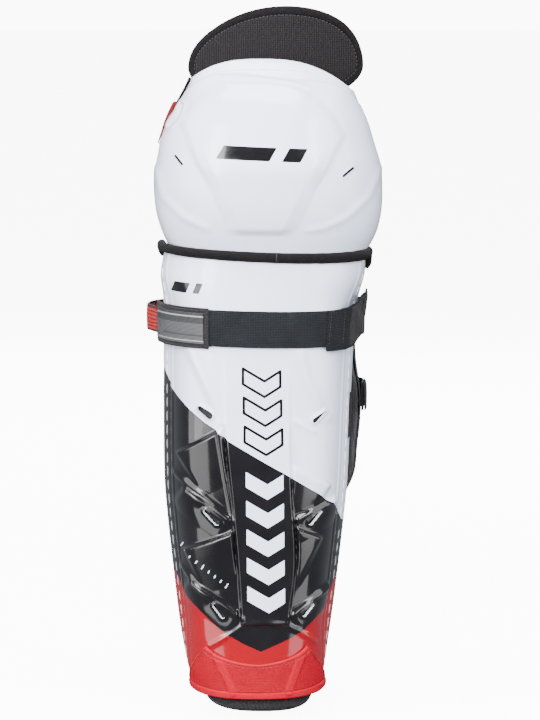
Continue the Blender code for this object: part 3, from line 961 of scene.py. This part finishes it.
def build_liner():
    s, t = grid(84, 150)
    side = 2 * s - 1
    low = -1.6 + 8.0 * np.abs(side) ** 3.2
    high = 300.0 - 5.0 * side ** 2
    z = low + (high - low) * t
    u = side * liner_reach(z)
    edge = rim_distance(s, t, 108, 300)
    crown = rounded(edge, 5.5)
    thick = 6.8 * crown
    mid = liner_lift(z)
    outer = lifted(shin, u, z, mid + thick / 2 + 0 * u)
    inner = lifted(shin, u, z, mid - thick / 2 + 0 * u)
    piece = solid("shin_liner", outer, inner, [MESH_MAT], angle=80)
    puff(piece, 2.6, 4.0, 2.0)
    press(piece, liner_channels)
    dress(piece, "liner", "liner_pad")
    a = np.linspace(0, 1, 160)
    us, zs = [], []
    for k in a:
        if k < 0.42:
            f = k / 0.42
            zs.append(294.0 - 282.0 * f)
            us.append(-float(liner_reach(zs[-1])))
        elif k < 0.58:
            f = (k - 0.42) / 0.16 * 2 - 1
            us.append(0.88 * f)
            zs.append(0.6 + 8.0 * abs(f) ** 3.2)
        else:
            f = (k - 0.58) / 0.42
            zs.append(12.0 + 282.0 * f)
            us.append(float(liner_reach(zs[-1])))
    path = lifted(shin, np.array(us), np.array(zs), liner_lift(np.array(zs)))
    path = spline(path, np.linspace(0, 1, 320))
    piece = roll("shin_liner_edge", path, 2.3, [COVER_MAT], 10)
    dress(piece, "liner")


build_liner()
for node in ("hook_strip_upper", "hook_strip_lower", "loop_strip_upper", "loop_strip_lower"):
    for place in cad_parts[node].material_slots:
        place.material = HOOK_MAT if node.startswith("hook") else MESH_MAT


# ---- straps --------------------------------------------------------------------------
def strap(name, points, width, wall, material, body, node):
    """Tape along points at its middle, standing upright, a little fuller along its middle."""
    t = np.linspace(-1, 1, 23)
    half = (np.asarray(width, float) / 2 + np.zeros(len(points)))[:, None]
    run = np.concatenate([[0], np.cumsum(np.linalg.norm(np.diff(points, axis=0), axis=1))])
    n = flat_normals(points)[:, None, :]
    up = np.array([0.0, 0.0, 1.0])
    flat = points[:, None, :] + up * (half * t)[..., None] + n * (0.35 * (1 - t ** 2))[None, :, None]
    attrs = {"run": run[:, None] + 0 * half * t, "cross": half * t}
    piece = band(name, flat, n, wall, [material], attrs)
    return dress(piece, body, node)


def flat_normals(points):
    along = np.gradient(points, axis=0)
    n = np.cross(along, np.array([0.0, 0.0, 1.0]))
    return n / np.linalg.norm(n, axis=1, keepdims=True)


def strap_height(u):
    """Middle height of the upper strap round the front."""
    return 276.0 - 1.2 * np.sin(u * PI / 2)


def level(corners, count, height):
    """Smooth run through corners given in plan, at one height or one for each point."""
    xy = spline(np.array(corners), np.linspace(0, 1, count))
    return np.concatenate([xy, np.broadcast_to(height, (count,))[:, None]], 1)


def build_upper_strap():
    u = np.linspace(-0.87, 0.80, 220)
    z = strap_height(u)
    points = lifted(shin, u, z, 1.35 + 0 * u)
    points[:, 2] = z
    strap("upper_webbing", points, 25.6, 1.5, WEB_MAT, "shin", "upper_strap_front")
    # the folded anchor: layers that turn up to a point on the right
    for k, (start, lift, wall) in enumerate(((0.47, 2.95, 1.5), (0.66, 3.9, 1.2), (0.82, 4.8, 0.9))):
        u = np.linspace(start, 1.0, 60)
        x = shin(u, 276.0 + 0 * u)[:, 0]
        low = np.interp(x, (42, 46, 60, 66, 70, 76), (260.3, 259.6, 259.4, 261.5, 265.5, 276)) + 2.0 * k
        high = np.interp(x, (42, 46, 60, 66, 69, 76), (287.4, 287.8, 289.6, 293.4, 298, 304)) - 1.6 * k
        t = np.linspace(0, 1, 22)
        uu = u[:, None] + 0 * t[None, :]
        zz = low[:, None] + (high - low)[:, None] * t[None, :]
        lifts = lift + 0.5 * np.sin(uu * 19 + zz * 0.22 + k) * smooth(uu, 0.5, 0.8)
        flat = lifted(shin, uu, zz, lifts)
        out = normals(shin, uu, zz)
        attrs = {"run": uu * 98, "cross": zz}
        piece = band("upper_anchor_%d" % k, flat, out, wall, [WEB_MAT if k == 0 else COVER_MAT], attrs)
        dress(piece, "shin")
        if k == 0:
            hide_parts("upper_strap_anchor")
    z = np.linspace(264.5, 287.0, 30)
    for a, word in ((0.485, "near"), (0.60, "far")):
        points, out = surface_line(shin, a, z, 3.75)
        sew("anchor_stitch_" + word, (points, out), 1.6, 2.3, 0.6, BLACK_THREAD, "shin")
    # red elastic from the tab round behind, then the webbing return
    corners = ((0.0, 68.5), (-26.0, 66.3), (-51.6, 56.9), (-72.4, 38.7), (-78.6, 18.0),
               (-76.4, 7.0), (-73.4, -0.6), (-70.8, -6.8))
    node = "upper_strap_elastic"
    piece = strap("red_elastic", level(corners, 150, 277.2), 18.6, 1.3, RED_MAT, None, node)
    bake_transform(piece)
    corners = ((72.6, -9.0), (73.6, -3.0), (74.4, 4.0), (75.2, 16.0), (71.2, 37.5),
               (51.5, 55.4), (27.7, 64.3), (0.0, 66.5), (-9.0, 66.3))
    f = np.linspace(0, 1, 170)
    points = level(corners, 170, 279.5 - 2.5 * smooth(f, 0, 0.35))
    width = 25.0 - 1.0 * smooth(f, 0, 0.3)
    strap("webbing_return", points, width, 1.3, WEB_MAT, "shin", "upper_strap_return")
    for k, x in enumerate((-7.0, -2.5)):
        z = np.linspace(270.0, 287.0, 20)
        points = np.stack([x + 0 * z, 69.35 - 0.02 * x + 0 * z, z], -1)
        out = np.tile([0.0, 1.0, 0.0], (20, 1))
        sew("elastic_join_%d" % k, (points, out), 1.8, 2.6, 0.7, BLACK_THREAD, "shin")


def build_upper_tab():
    u = np.linspace(-0.935, -0.345, 90)
    z = strap_height(u) - 0.4
    points = lifted(shin, u, z, 3.15 - 0.5 * smooth(-u, 0.80, 0.93))
    points[:, 2] = z
    strap("tab_tape", points, 28.6, 1.5, COVER_MAT, "upper_tab", "upper_tab_hook")
    u = np.linspace(-0.815, -0.375, 90)
    z = strap_height(u) - 0.4
    points = lifted(shin, u, z, 4.3 + 0 * u)
    points[:, 2] = z
    strap("tab_label", points, 21.5, 0.9, LABEL_MAT, "upper_tab", "upper_tab_label")
    z = np.linspace(263.5, 289.0, 30)
    for a, word in ((-0.358, "near"), (-0.828, "far")):
        points, out = surface_line(shin, a, z, 4.15)
        sew("tab_stitch_" + word, (points, out), 1.6, 2.3, 0.6, BLACK_THREAD, "upper_tab")
    for height, word in ((262.5, "low"), (288.4, "high")):
        u = np.linspace(-0.83, -0.365, 60)
        points, out = surface_line(shin, u, height - 1.2 * np.sin(u * PI / 2), 4.15)
        sew("tab_stitch_" + word, (points, out), 1.6, 2.3, 0.6, BLACK_THREAD, "upper_tab")


def build_lower_strap():
    corners = ((74.0, 2.0), (74.9, 12.0), (73.9, 28.0), (61.4, 47.4), (33.7, 61.3),
               (0.0, 66.8), (-33.7, 61.3), (-58.0, 47.5), (-66.0, 30.0), (-66.6, 14.0),
               (-65.6, 5.0))
    points = level(corners, 200, 221.0)
    strap("lower_strap", points, 20.6, 1.4, WEB_MAT, "shin", "lower_strap_back")
    points = level(((76.2, 0.6), (76.9, 10.0), (76.5, 27.0)), 60, 221.0)
    strap("lower_tab_tape", points, 19.6, 1.4, COVER_MAT, "lower_tab", "lower_tab_hook")
    z = np.linspace(213.5, 228.5, 20)
    for k, y in enumerate((3.0, 24.0)):
        points = np.stack([77.35 + 0 * z, y + 0 * z, z], -1)
        out = np.tile([1.0, 0.0, 0.0], (20, 1))
        sew("lower_tab_stitch_%d" % k, (points, out), 1.7, 2.4, 0.65, BLACK_THREAD, "lower_tab")


build_upper_strap()
build_upper_tab()
build_lower_strap()


# ---- wings ---------------------------------------------------------------------------
LATERAL_EDGE = ((66, 50.0), (100, 54.5), (140, 59.5), (152, 62.5), (160, 66.4), (168, 68.8),
                (186, 70.4), (203, 72.2), (222, 72.4), (246, 69.2), (262, 68.4), (305, 68.4))


WING_Y = SEAM_Y + 2.6  # where the wings start
WING_DEPTH = 42.0  # and how far back they reach


def wing_point(side, t, z):
    edge = station(LATERAL_EDGE, z) if side > 0 else station(CENTRE, z) - station(SHELL_HALF, z) + 4.6
    return np.stack([edge - side * 16.0 * t * t, WING_Y + WING_DEPTH * t + 0 * z,
                     z + 0 * t], -1)


def wing_ends(t):
    """Lower and upper edge heights of a wing, t of the way back from the shell."""
    return 73.0 + 34.0 * t ** 2, 299.0 - 22.0 * t ** 2


def wing_surface(side):
    def surface(a, z):
        return wing_point(side, side * a, z)
    return surface


def build_wing(side, word):
    body = word + "_wing"
    surface = wing_surface(side)
    s, t = grid(54, 110)
    along = 0.965 * (s if side > 0 else 1 - s)
    low, high = wing_ends(along)
    z = low + (high - low) * t
    edge = rim_distance(s, t, 40, 220)
    crown = rounded(edge, 3.2)
    mid = -3.3
    outer = lifted(surface, side * along, z, mid + 2.5 * crown + 0 * z)
    inner = lifted(surface, side * along, z, mid - 2.5 * crown)
    piece = solid(word + "_wing_pad", outer, inner, [LINING_MAT], angle=80)
    puff(piece, 2.4, 4.0, 1.0)

    def channels(p, out):
        deep = (p[:, 1] - WING_Y) / WING_DEPTH
        line = seams(p[:, 2] - 10 * deep, 106, 40, 5, 1.6)
        return 1.4 * line * smooth(-side * out[:, 0], 0.1, 0.5) * (1 - smooth(deep, 0.86, 0.95))
    press(piece, channels)
    dress(piece, body, word + "_wing_foam")
    s, t = grid(40, 90)
    along = 0.14 + 0.60 * (s if side > 0 else 1 - s)
    low, high = wing_ends(along)
    z = low + 17 + (high - low - 34) * t
    a = (along - 0.44) * WING_DEPTH
    ribs = 0.5 * ridge(np.abs(a) - 7.0, 1.2) * smooth(t, 0.06, 0.12) * smooth(1 - t, 0.06, 0.12)
    edge = rim_distance(s, t, 26, 190)
    outer = lifted(surface, side * along, z, 1.45 - 0.4 * np.exp(-edge / 0.5) + ribs)
    inner = lifted(surface, side * along, z, 0.1 + 0 * z)
    piece = solid(word + "_wing_stiffener", outer, inner, [PLATE_MAT])
    dress(piece, body, word + "_wing_plate")
    f = np.linspace(0, 1, 60)
    a = np.concatenate([0.03 + 0.87 * f, 0.965 + 0.02 * np.sin(f * PI), 0.90 - 0.87 * f])
    low, high = wing_ends(a)
    z = np.concatenate([low[:60] + 0.6, 103.0 + 176.0 * f, high[120:] - 0.6])
    keep = np.ones(len(a), bool)
    keep[57:63] = False
    keep[117:123] = False
    pts = wing_point(side, a[keep], z[keep])
    pts[:, 0] -= side * (3.0 + 2.0 * smooth(0.10 - a[keep], 0, 0.12))
    pts = spline(pts, np.linspace(0, 1, 260))
    piece = roll(word + "_wing_edge", pts, 3.0, [KNIT_MAT], 12)
    dress(piece, body, word + "_wing_binding")
    # fabric hinge between the shell's edge and the wing
    s, t = grid(16, 80)
    f = s if side > 0 else 1 - s
    z = 78.0 + 216.0 * t
    y = -3.0 + 15.0 * f
    at = wing_point(side, np.clip((y - WING_Y) / WING_DEPTH, -0.2, 1), z)
    x = at[..., 0] - side * (6.2 - 0.6 * np.sin(f * PI)) - side * 0.6
    flat = np.stack([x, y, z], -1)
    out = np.zeros_like(flat)
    out[..., 0] = side
    piece = band(word + "_wing_gusset", flat, out, 0.9, [COVER_MAT])
    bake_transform(piece)


for side, word in ((-1, "medial"), (1, "lateral")):
    build_wing(side, word)


# ---- knee cap ------------------------------------------------------------------------
SLOTS = (((-57.2, 396.6), (-52.6, 391.2), 0.85, 0.85), ((66.0, 388.6), (59.4, 383.6), 0.85, 0.85))
CAP_MARK = (((-28.0, 396.4), (8.0, 394.9), (13.2, 404.0), (-22.8, 405.5)),
            ((16.5, 394.5), (28.8, 393.9), (34.0, 403.0), (21.7, 403.6)))


def cap_edges(side):
    """Lower and upper edge heights of the knee cap; the top is one broad arch in the front view."""
    high = 460.0 + 0 * side
    for _ in range(12):
        across = cap(side, high)[..., 0] - 2.0
        arch = 465.0 - 14.0 * (np.abs(across) / np.where(across < 0, 49.5, 54.0)) ** 2.6
        high = 0.5 * high + 0.5 * arch
    return 320.5 + 11.0 * np.abs(side) ** 3, np.maximum(high, 440.0)


def cap_relief(x, z, u, top, slot):
    h = np.zeros(x.shape)
    # a turned lip along the top edge and down both sides
    rim = np.minimum(top, (1 - np.abs(u)) * 118 + 60 * smooth(400 - z, 0, 60))
    lip = 12.5 + 2.5 * np.sin(x * 0.05)
    h = h - 1.3 * smooth(rim, lip + 1.5, lip - 1.5)
    # bright fold below the lip
    fold = to_path(x, z, ((-23, 451.5), (-8, 451.2), (8, 450.2), (22, 448.0), (36, 444.2)))
    h = h + 1.1 * ridge(fold, 1.5)
    fold = to_path(x, z, ((-22, 446.5), (0, 447.2), (20, 445.0), (34, 440.5)))
    h = h + 0.9 * ridge(fold, 2.3)
    # oval dome
    oval = polygon(x, z, ((-52, 420), (-46, 430), (-34, 440), (-18, 444.5), (4, 445), (24, 443),
                          (40, 435), (51, 423), (58, 411), (47, 386), (28, 352), (4, 347),
                          (-20, 352), (-41, 392)))
    h = h + 1.5 * smooth(oval, 4.5, -3.5) * smooth(z, 372, 392)
    # lower ridge between two slanting side facets
    left = np.interp(z, (345, 352, 378, 393, 412, 422), (-21, -21.5, -33, -41, -50, -54))
    right = np.interp(z, (345, 352, 385, 412, 422), (25, 28, 44, 58, 60))
    inner = np.minimum(x - left, right - x)
    low = smooth(z, 341, 349) * (1 - smooth(z, 386, 410))
    h = h + 2.6 * np.clip((inner + 2) / 11.0, 0, 1) * low
    # rounded lower cheeks
    cheek = to_path(x, z, ((86, 384), (78, 368), (62, 354), (46, 347.5), (36, 346)))
    h = h + 0.8 * ridge(cheek, 3.0)
    cheek = to_path(x, z, ((-72, 384), (-66, 366), (-52, 354), (-36, 347)))
    h = h + 0.8 * ridge(cheek, 3.0)
    # crease at the upper left
    crease = to_path(x, z, ((-53.5, 431), (-56, 424), (-62, 416.5)))
    h = h - 1.0 * ridge(crease, 1.3)
    h = h + 0.7 * ridge(crease - 2.4, 1.3)
    return h + 0.35 * ridge(np.maximum(slot, 0), 1.1)


def build_cap():
    s, t = grid(300, 250)
    side = 2 * s - 1
    side = side * (0.86 + 0.14 * np.abs(side) ** 2)
    low, high = cap_edges(side)
    z = low + (high - low) * t
    u = side + 0 * z
    u, z, x, slot, hole = cut_slots(cap, SLOTS, u, z, 0.5, 0.25, 0.08)
    top = high - z
    h = cap_relief(x, z, u, top, slot)
    near = np.minimum(np.minimum(top, z - low), (1 - np.abs(u)) * 120)
    outer = lifted(cap, u, z, h - 0.6 * np.exp(-near / 0.9))
    inner = lifted(cap, u, z, -3.0 + 0 * u)
    attrs = {"mark": marks(x, z, CAP_MARK)}
    # Painted shade: the slot walls take the dark foam material instead of the cap's white plastic, so the
    # slots read black.
    piece = solid("knee_cap_skin", outer, inner, [CAP_MAT, FOAM_MAT], hole, attrs, 50)
    dress(piece, "knee", "knee_cap_shell")
    a = np.linspace(-0.72, 0.72, 150)
    low, high = cap_edges(a)
    zs = high - 7.6
    points, out = surface_line(cap, a, zs, -1.15)
    sew("cap_top_stitch", (points, out), 6.8, 9.2, 1.0, WHITE_THREAD, "knee")


def knee_channels(p, out):
    line = ridge(np.abs(p[:, 0] - 7.5) - 33.0, 1.5)
    line = np.maximum(line, seams(p[:, 2], 352, 22, 3, 1.5))
    return 1.1 * line * smooth(out[:, 1], 0.05, 0.4)


def inner_pad(name, node, lift, reach, low, low_rise, high, high_drop, wall, material, quilt):
    s, t = grid(80, 60)
    side = 2 * s - 1
    z0 = low + low_rise * np.abs(side) ** 3
    z1 = high - high_drop * side ** 2
    z = z0 + (z1 - z0) * t
    edge = rim_distance(s, t, 170, 88)
    crown = rounded(edge, wall * 0.8)
    mid = lift - wall / 2
    outer = lifted(cap, side * reach, z, mid + wall / 2 * crown)
    inner = lifted(cap, side * reach, z, mid - wall / 2 * crown)
    piece = solid(name, outer, inner, [material], angle=80)
    if quilt:
        press(piece, knee_channels)
    dress(piece, "knee", node)
    return piece


LOOP_EDGE = ((400, -72.0), (409, -69.0), (418, -66.2), (427, -62.4), (434, -58.6))


def build_knee():
    build_cap()
    inner_pad("knee_foam_pad", "knee_foam", -3.4, 0.78, 331.0, 6.0, 424.0, 10.0, 5.2, FOAM_MAT,
              False)
    inner_pad("knee_lining", "knee_liner", -10.0, 0.84, 333.0, 6.0, 421.0, 10.0, 3.0, MESH_MAT,
              True)
    for side, word in ((-1, "medial"), (1, "lateral")):
        s, t = grid(12, 60)
        ends = (0.84, 0.94) if side > 0 else (-0.94, -0.84)
        u = ends[0] + (ends[1] - ends[0]) * s
        z = 304.0 + 94.0 * t
        flat = lifted(cap, u, z, -4.2 + 0 * u)
        attrs = {"run": z, "cross": (s - 0.5) * 14}
        piece = band("knee_sling_%s_tape" % word, flat, normals(cap, u, z), 1.3, [WEB_MAT], attrs)
        dress(piece, "knee", "knee_sling_" + word)
    # folded red pull loop on the left edge
    s, t = grid(8, 50)
    z = 402.0 + 30.0 * t
    edge = cap(-1.0 + 0 * z, z)
    x = station(LOOP_EDGE, z) + 3.2 * s * (0.3 + 0.7 * t)
    y = edge[..., 1] + 1.0 - s
    flat = np.stack([x, y, z], -1)
    out = np.zeros_like(flat)
    out[..., 1] = -1.0
    for k in range(2):
        shift = np.array([0.0, 1.5 * k, 0.0])
        skew = np.array([0.9 * k, 0.0, -1.2 * k])
        attrs = {"run": z, "cross": (s - 0.5) * 14}
        piece = band("pull_loop_%d" % k, flat + shift + skew, out, 1.2, [RED_MAT], attrs)
        dress(piece, "knee")
        if k == 0:
            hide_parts("knee_pull_tab")
    # dark lining edge that shows along the cap's left shoulder
    z = np.linspace(424.0, 449.0, 60)
    points = cap(-1.0 + 0 * z, z)
    points[:, 0] += 0.25
    points[:, 1] += 2.0
    piece = roll("cap_lining_edge", points, 1.15, [KNIT_MAT], 10)
    dress(piece, "knee")


build_knee()


# ---- thigh guard ---------------------------------------------------------------------
THIGH_MID = 457.0
THIGH_UP, THIGH_DOWN, THIGH_LEFT, THIGH_RIGHT = 43.0, 26.0, 62.3, 66.4


def thigh_lean(x, z):
    """The outline leans a little: its right shoulder stands higher than its left."""
    return z + 0.072 * x * smooth(z, 455, 490)


def thigh_spot(inset, s, t):
    angle = PI * (t - 0.5)
    rise = np.sin(angle)
    tall = np.where(rise > 0, THIGH_UP, THIGH_DOWN) - inset
    z = THIGH_MID + tall * rise * 0.995
    half = np.sqrt(np.maximum(1 - (0.995 * rise) ** 2, 0))
    left = (THIGH_LEFT - inset) * half
    right = (THIGH_RIGHT - inset) * half
    return (left + right) * s - left, z


def thigh_sheet(name, node, inset, front, back, puff, material, soft, quilt=0):
    s, t = grid(84, 72)
    x, z = thigh_spot(inset, s, t)
    tall = np.where(z > THIGH_MID, THIGH_UP, THIGH_DOWN) - inset
    wide = np.where(x > 0, THIGH_RIGHT, THIGH_LEFT) - inset
    deep = 1 - np.hypot(x / wide, (z - THIGH_MID) / tall)
    edge = deep * 34.0
    wall = front - back
    crown = rounded(edge, wall * 0.9) if soft else 1
    mid = (front + back) / 2
    rise = puff * smooth(edge, 0, 22)
    dent = seams(edge, 9.0, 9.0, quilt, 1.0)
    place = thigh_lean(x, z)
    outer = lifted(thigh, x, place, mid + wall / 2 * crown + rise)
    inner = lifted(thigh, x, place, mid - wall / 2 * crown + 0.9 * dent * crown)
    piece = solid(name, outer, inner, [material], angle=80)
    dress(piece, "thigh_guard", node)
    return piece


def thigh_ring(inset, lift, count):
    a = np.linspace(0, 2 * PI, count + 1)[:-1]
    rise = np.sin(a)
    z = THIGH_MID + (np.where(rise > 0, THIGH_UP, THIGH_DOWN) - inset) * rise
    x = (np.where(np.cos(a) > 0, THIGH_RIGHT, THIGH_LEFT) - inset) * np.cos(a)
    place = thigh_lean(x, z)
    return lifted(thigh, x, place, lift + 0 * x), normals(thigh, x, place)


def build_thigh():
    piece = thigh_sheet("thigh_front_panel", "thigh_panel", 6.2, -0.6, -3.9, 1.4, RIB_MAT,
                        True)
    thigh_sheet("thigh_stiffener", "thigh_plate", 9.5, -4.5, -5.7, 0, PLATE_MAT, False)
    piece = thigh_sheet("thigh_back_pad", "thigh_back_foam", 6.2, -6.4, -9.6, 0, MESH_MAT,
                        True, 2)
    points, out = thigh_ring(3.6, -4.6, 220)
    piece = roll("thigh_edge_tape", points, 3.75, [KNIT_MAT], 16, closed=True, ups=out)
    dress(piece, "thigh_guard", "thigh_binding")
    points, out = thigh_ring(6.5, -1.35, 240)
    points = np.concatenate([points, points[:1]])
    out = np.concatenate([out, out[:1]])
    sew("thigh_edge_stitch", (points, out), 2.0, 2.7, 0.75, BLACK_THREAD, "thigh_guard")


build_thigh()


# ---- fabric across the knee ----------------------------------------------------------
def build_gussets():
    s, t = grid(70, 46)
    side = 2 * s - 1
    z = 292.0 + 50.0 * t
    low = lifted(shin, side * 0.86, np.minimum(z, 326.0), -9.6 + 0 * z)
    high = lifted(cap, side * 0.80, np.maximum(z, 331.0), -11.6 + 0 * z)
    f = smooth(z, 304.0, 334.0)[..., None]
    flat = low * (1 - f) + high * f
    flat[..., 2] = z + 4.0 * np.abs(side) ** 3 * t
    out = normals(shin, side * 0.86, np.minimum(z, 326.0))
    attrs = {"run": side * 100, "cross": z}
    piece = band("knee_gusset", flat, out, 1.0, [COVER_MAT], attrs)
    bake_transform(piece)
    s, t = grid(50, 30)
    side = 2 * s - 1
    z = 416.0 + 30.0 * t
    low = lifted(cap, side * 0.50, z, -9.6 + 0 * z)
    x = side * 42.0
    high = lifted(thigh, x, z, -11.2 + 0 * z)
    f = smooth(z, 420.0, 440.0)[..., None]
    flat = low * (1 - f) + high * f
    out = normals(cap, side * 0.5, z)
    attrs = {"run": side * 45, "cross": z}
    piece = band("thigh_gusset", flat, out, 1.0, [COVER_MAT], attrs)
    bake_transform(piece)


build_gussets()


# ---- stage, lights and camera --------------------------------------------------------
def stage_disc(name, rows, emission):
    """Pale stage surface turned about the middle: rows are radius and height in metres."""
    sides = 64
    turn = np.linspace(0, 2 * PI, sides + 1)[:-1]
    verts = [(r * math.cos(a) / MM, r * math.sin(a) / MM, z / MM) for r, z in rows for a in turn]
    faces = []
    for i in range(0, (len(rows) - 1) * sides, sides):
        for k in range(sides):
            m = (k + 1) % sides
            faces.append([i + k, i + m, i + sides + m, i + sides + k])
    n = Nodes(name + "_paper", (0.9, 0.9, 0.9), 0.9)
    n.colour(n.mix(n.ramp(n.noise(3.0, 2.0), 0.3, 0.7), (0.88, 0.88, 0.88), (0.86, 0.86, 0.865)))
    n.shader.inputs["Emission Color"].default_value = (1, 1, 1, 1)
    n.shader.inputs["Emission Strength"].default_value = emission
    piece = make(name, verts, faces, [n.material])
    piece.visible_glossy = False
    piece.visible_diffuse = False
    piece.visible_shadow = False
    return piece


def softbox(name, where, aim, size, energy):
    light = bpy.data.lights.new(name, "AREA")
    light.shape = "RECTANGLE"
    light.size, light.size_y = size
    light.energy = energy
    lamp = bpy.data.objects.new(name, light)
    bpy.context.scene.collection.objects.link(lamp)
    lamp.location = where
    lamp.visible_camera = False
    lamp.rotation_euler = (Vector(aim) - Vector(where)).to_track_quat("-Z", "Y").to_euler()
    return lamp


def build_stage():
    floor = stage_disc("studio_floor", [(0.001, -0.006), (0.5, -0.006), (2.0, -0.006), (10.0, -0.006)], 9.0)
    dome = stage_disc("studio_dome", [(10.0, -0.006), (9.4, 3.0), (7.0, 6.5), (0.01, 8.5)], 10.0)
    middle = (0.0, 0.0, 0.28)
    softbox("box_left", (-1.7, -0.55, 0.75), middle, (1.3, 2.0), 30)
    softbox("box_right", (1.7, -0.45, 0.70), middle, (1.3, 2.0), 25)
    softbox("strip_left", (-1.40, -1.30, 0.75), middle, (0.60, 1.7), 50)
    softbox("strip_right", (1.36, -1.34, 0.75), middle, (0.40, 1.7), 26)
    softbox("box_top", (-0.2, -0.75, 2.1), middle, (2.0, 0.6), 62)
    for name, where, size, energy in (("wrap_left", (-1.15, -1.9, 0.45), (0.65, 1.6), 10),
                                      ("wrap_right", (1.05, -2.0, 0.45), (0.45, 1.4), 5),
                                      ("low_left", (-1.6, -1.1, -0.45), (1.2, 0.9), 11),
                                      ("low_right", (1.6, -1.2, -0.45), (0.9, 0.9), 7)):
        shine = softbox(name, where, middle, size, energy)
        shine.visible_diffuse = False
    fill = softbox("key_front", (-0.3, -2.6, 1.4), middle, (1.8, 1.4), 215)
    fill.visible_glossy = False
    softbox("box_back", (0.3, 1.9, 1.3), middle, (1.6, 1.2), 95)
    world = bpy.data.worlds.new("studio")
    world.use_nodes = True
    bpy.context.scene.world = world
    back = world.node_tree.nodes["Background"]
    back.inputs[0].default_value = (0.86, 0.93, 1.0, 1)
    back.inputs[1].default_value = 0.30


def build_camera():
    camera = bpy.data.cameras.new("camera")
    camera.sensor_fit = "VERTICAL"
    camera.sensor_height = 36.0
    away = 3.2
    camera.lens = 36.0 * away / 0.5126
    eye = bpy.data.objects.new("camera", camera)
    bpy.context.scene.collection.objects.link(eye)
    tilt = math.radians(7.0)
    aim = Vector((0.0085, 0.0, 0.2474))
    eye.location = aim + Vector((0, -math.cos(tilt), math.sin(tilt))) * away
    eye.rotation_euler = (aim - eye.location).to_track_quat("-Z", "Y").to_euler()
    camera.clip_start = 0.05
    camera.clip_end = 60.0
    bpy.context.scene.camera = eye


build_stage()
build_camera()
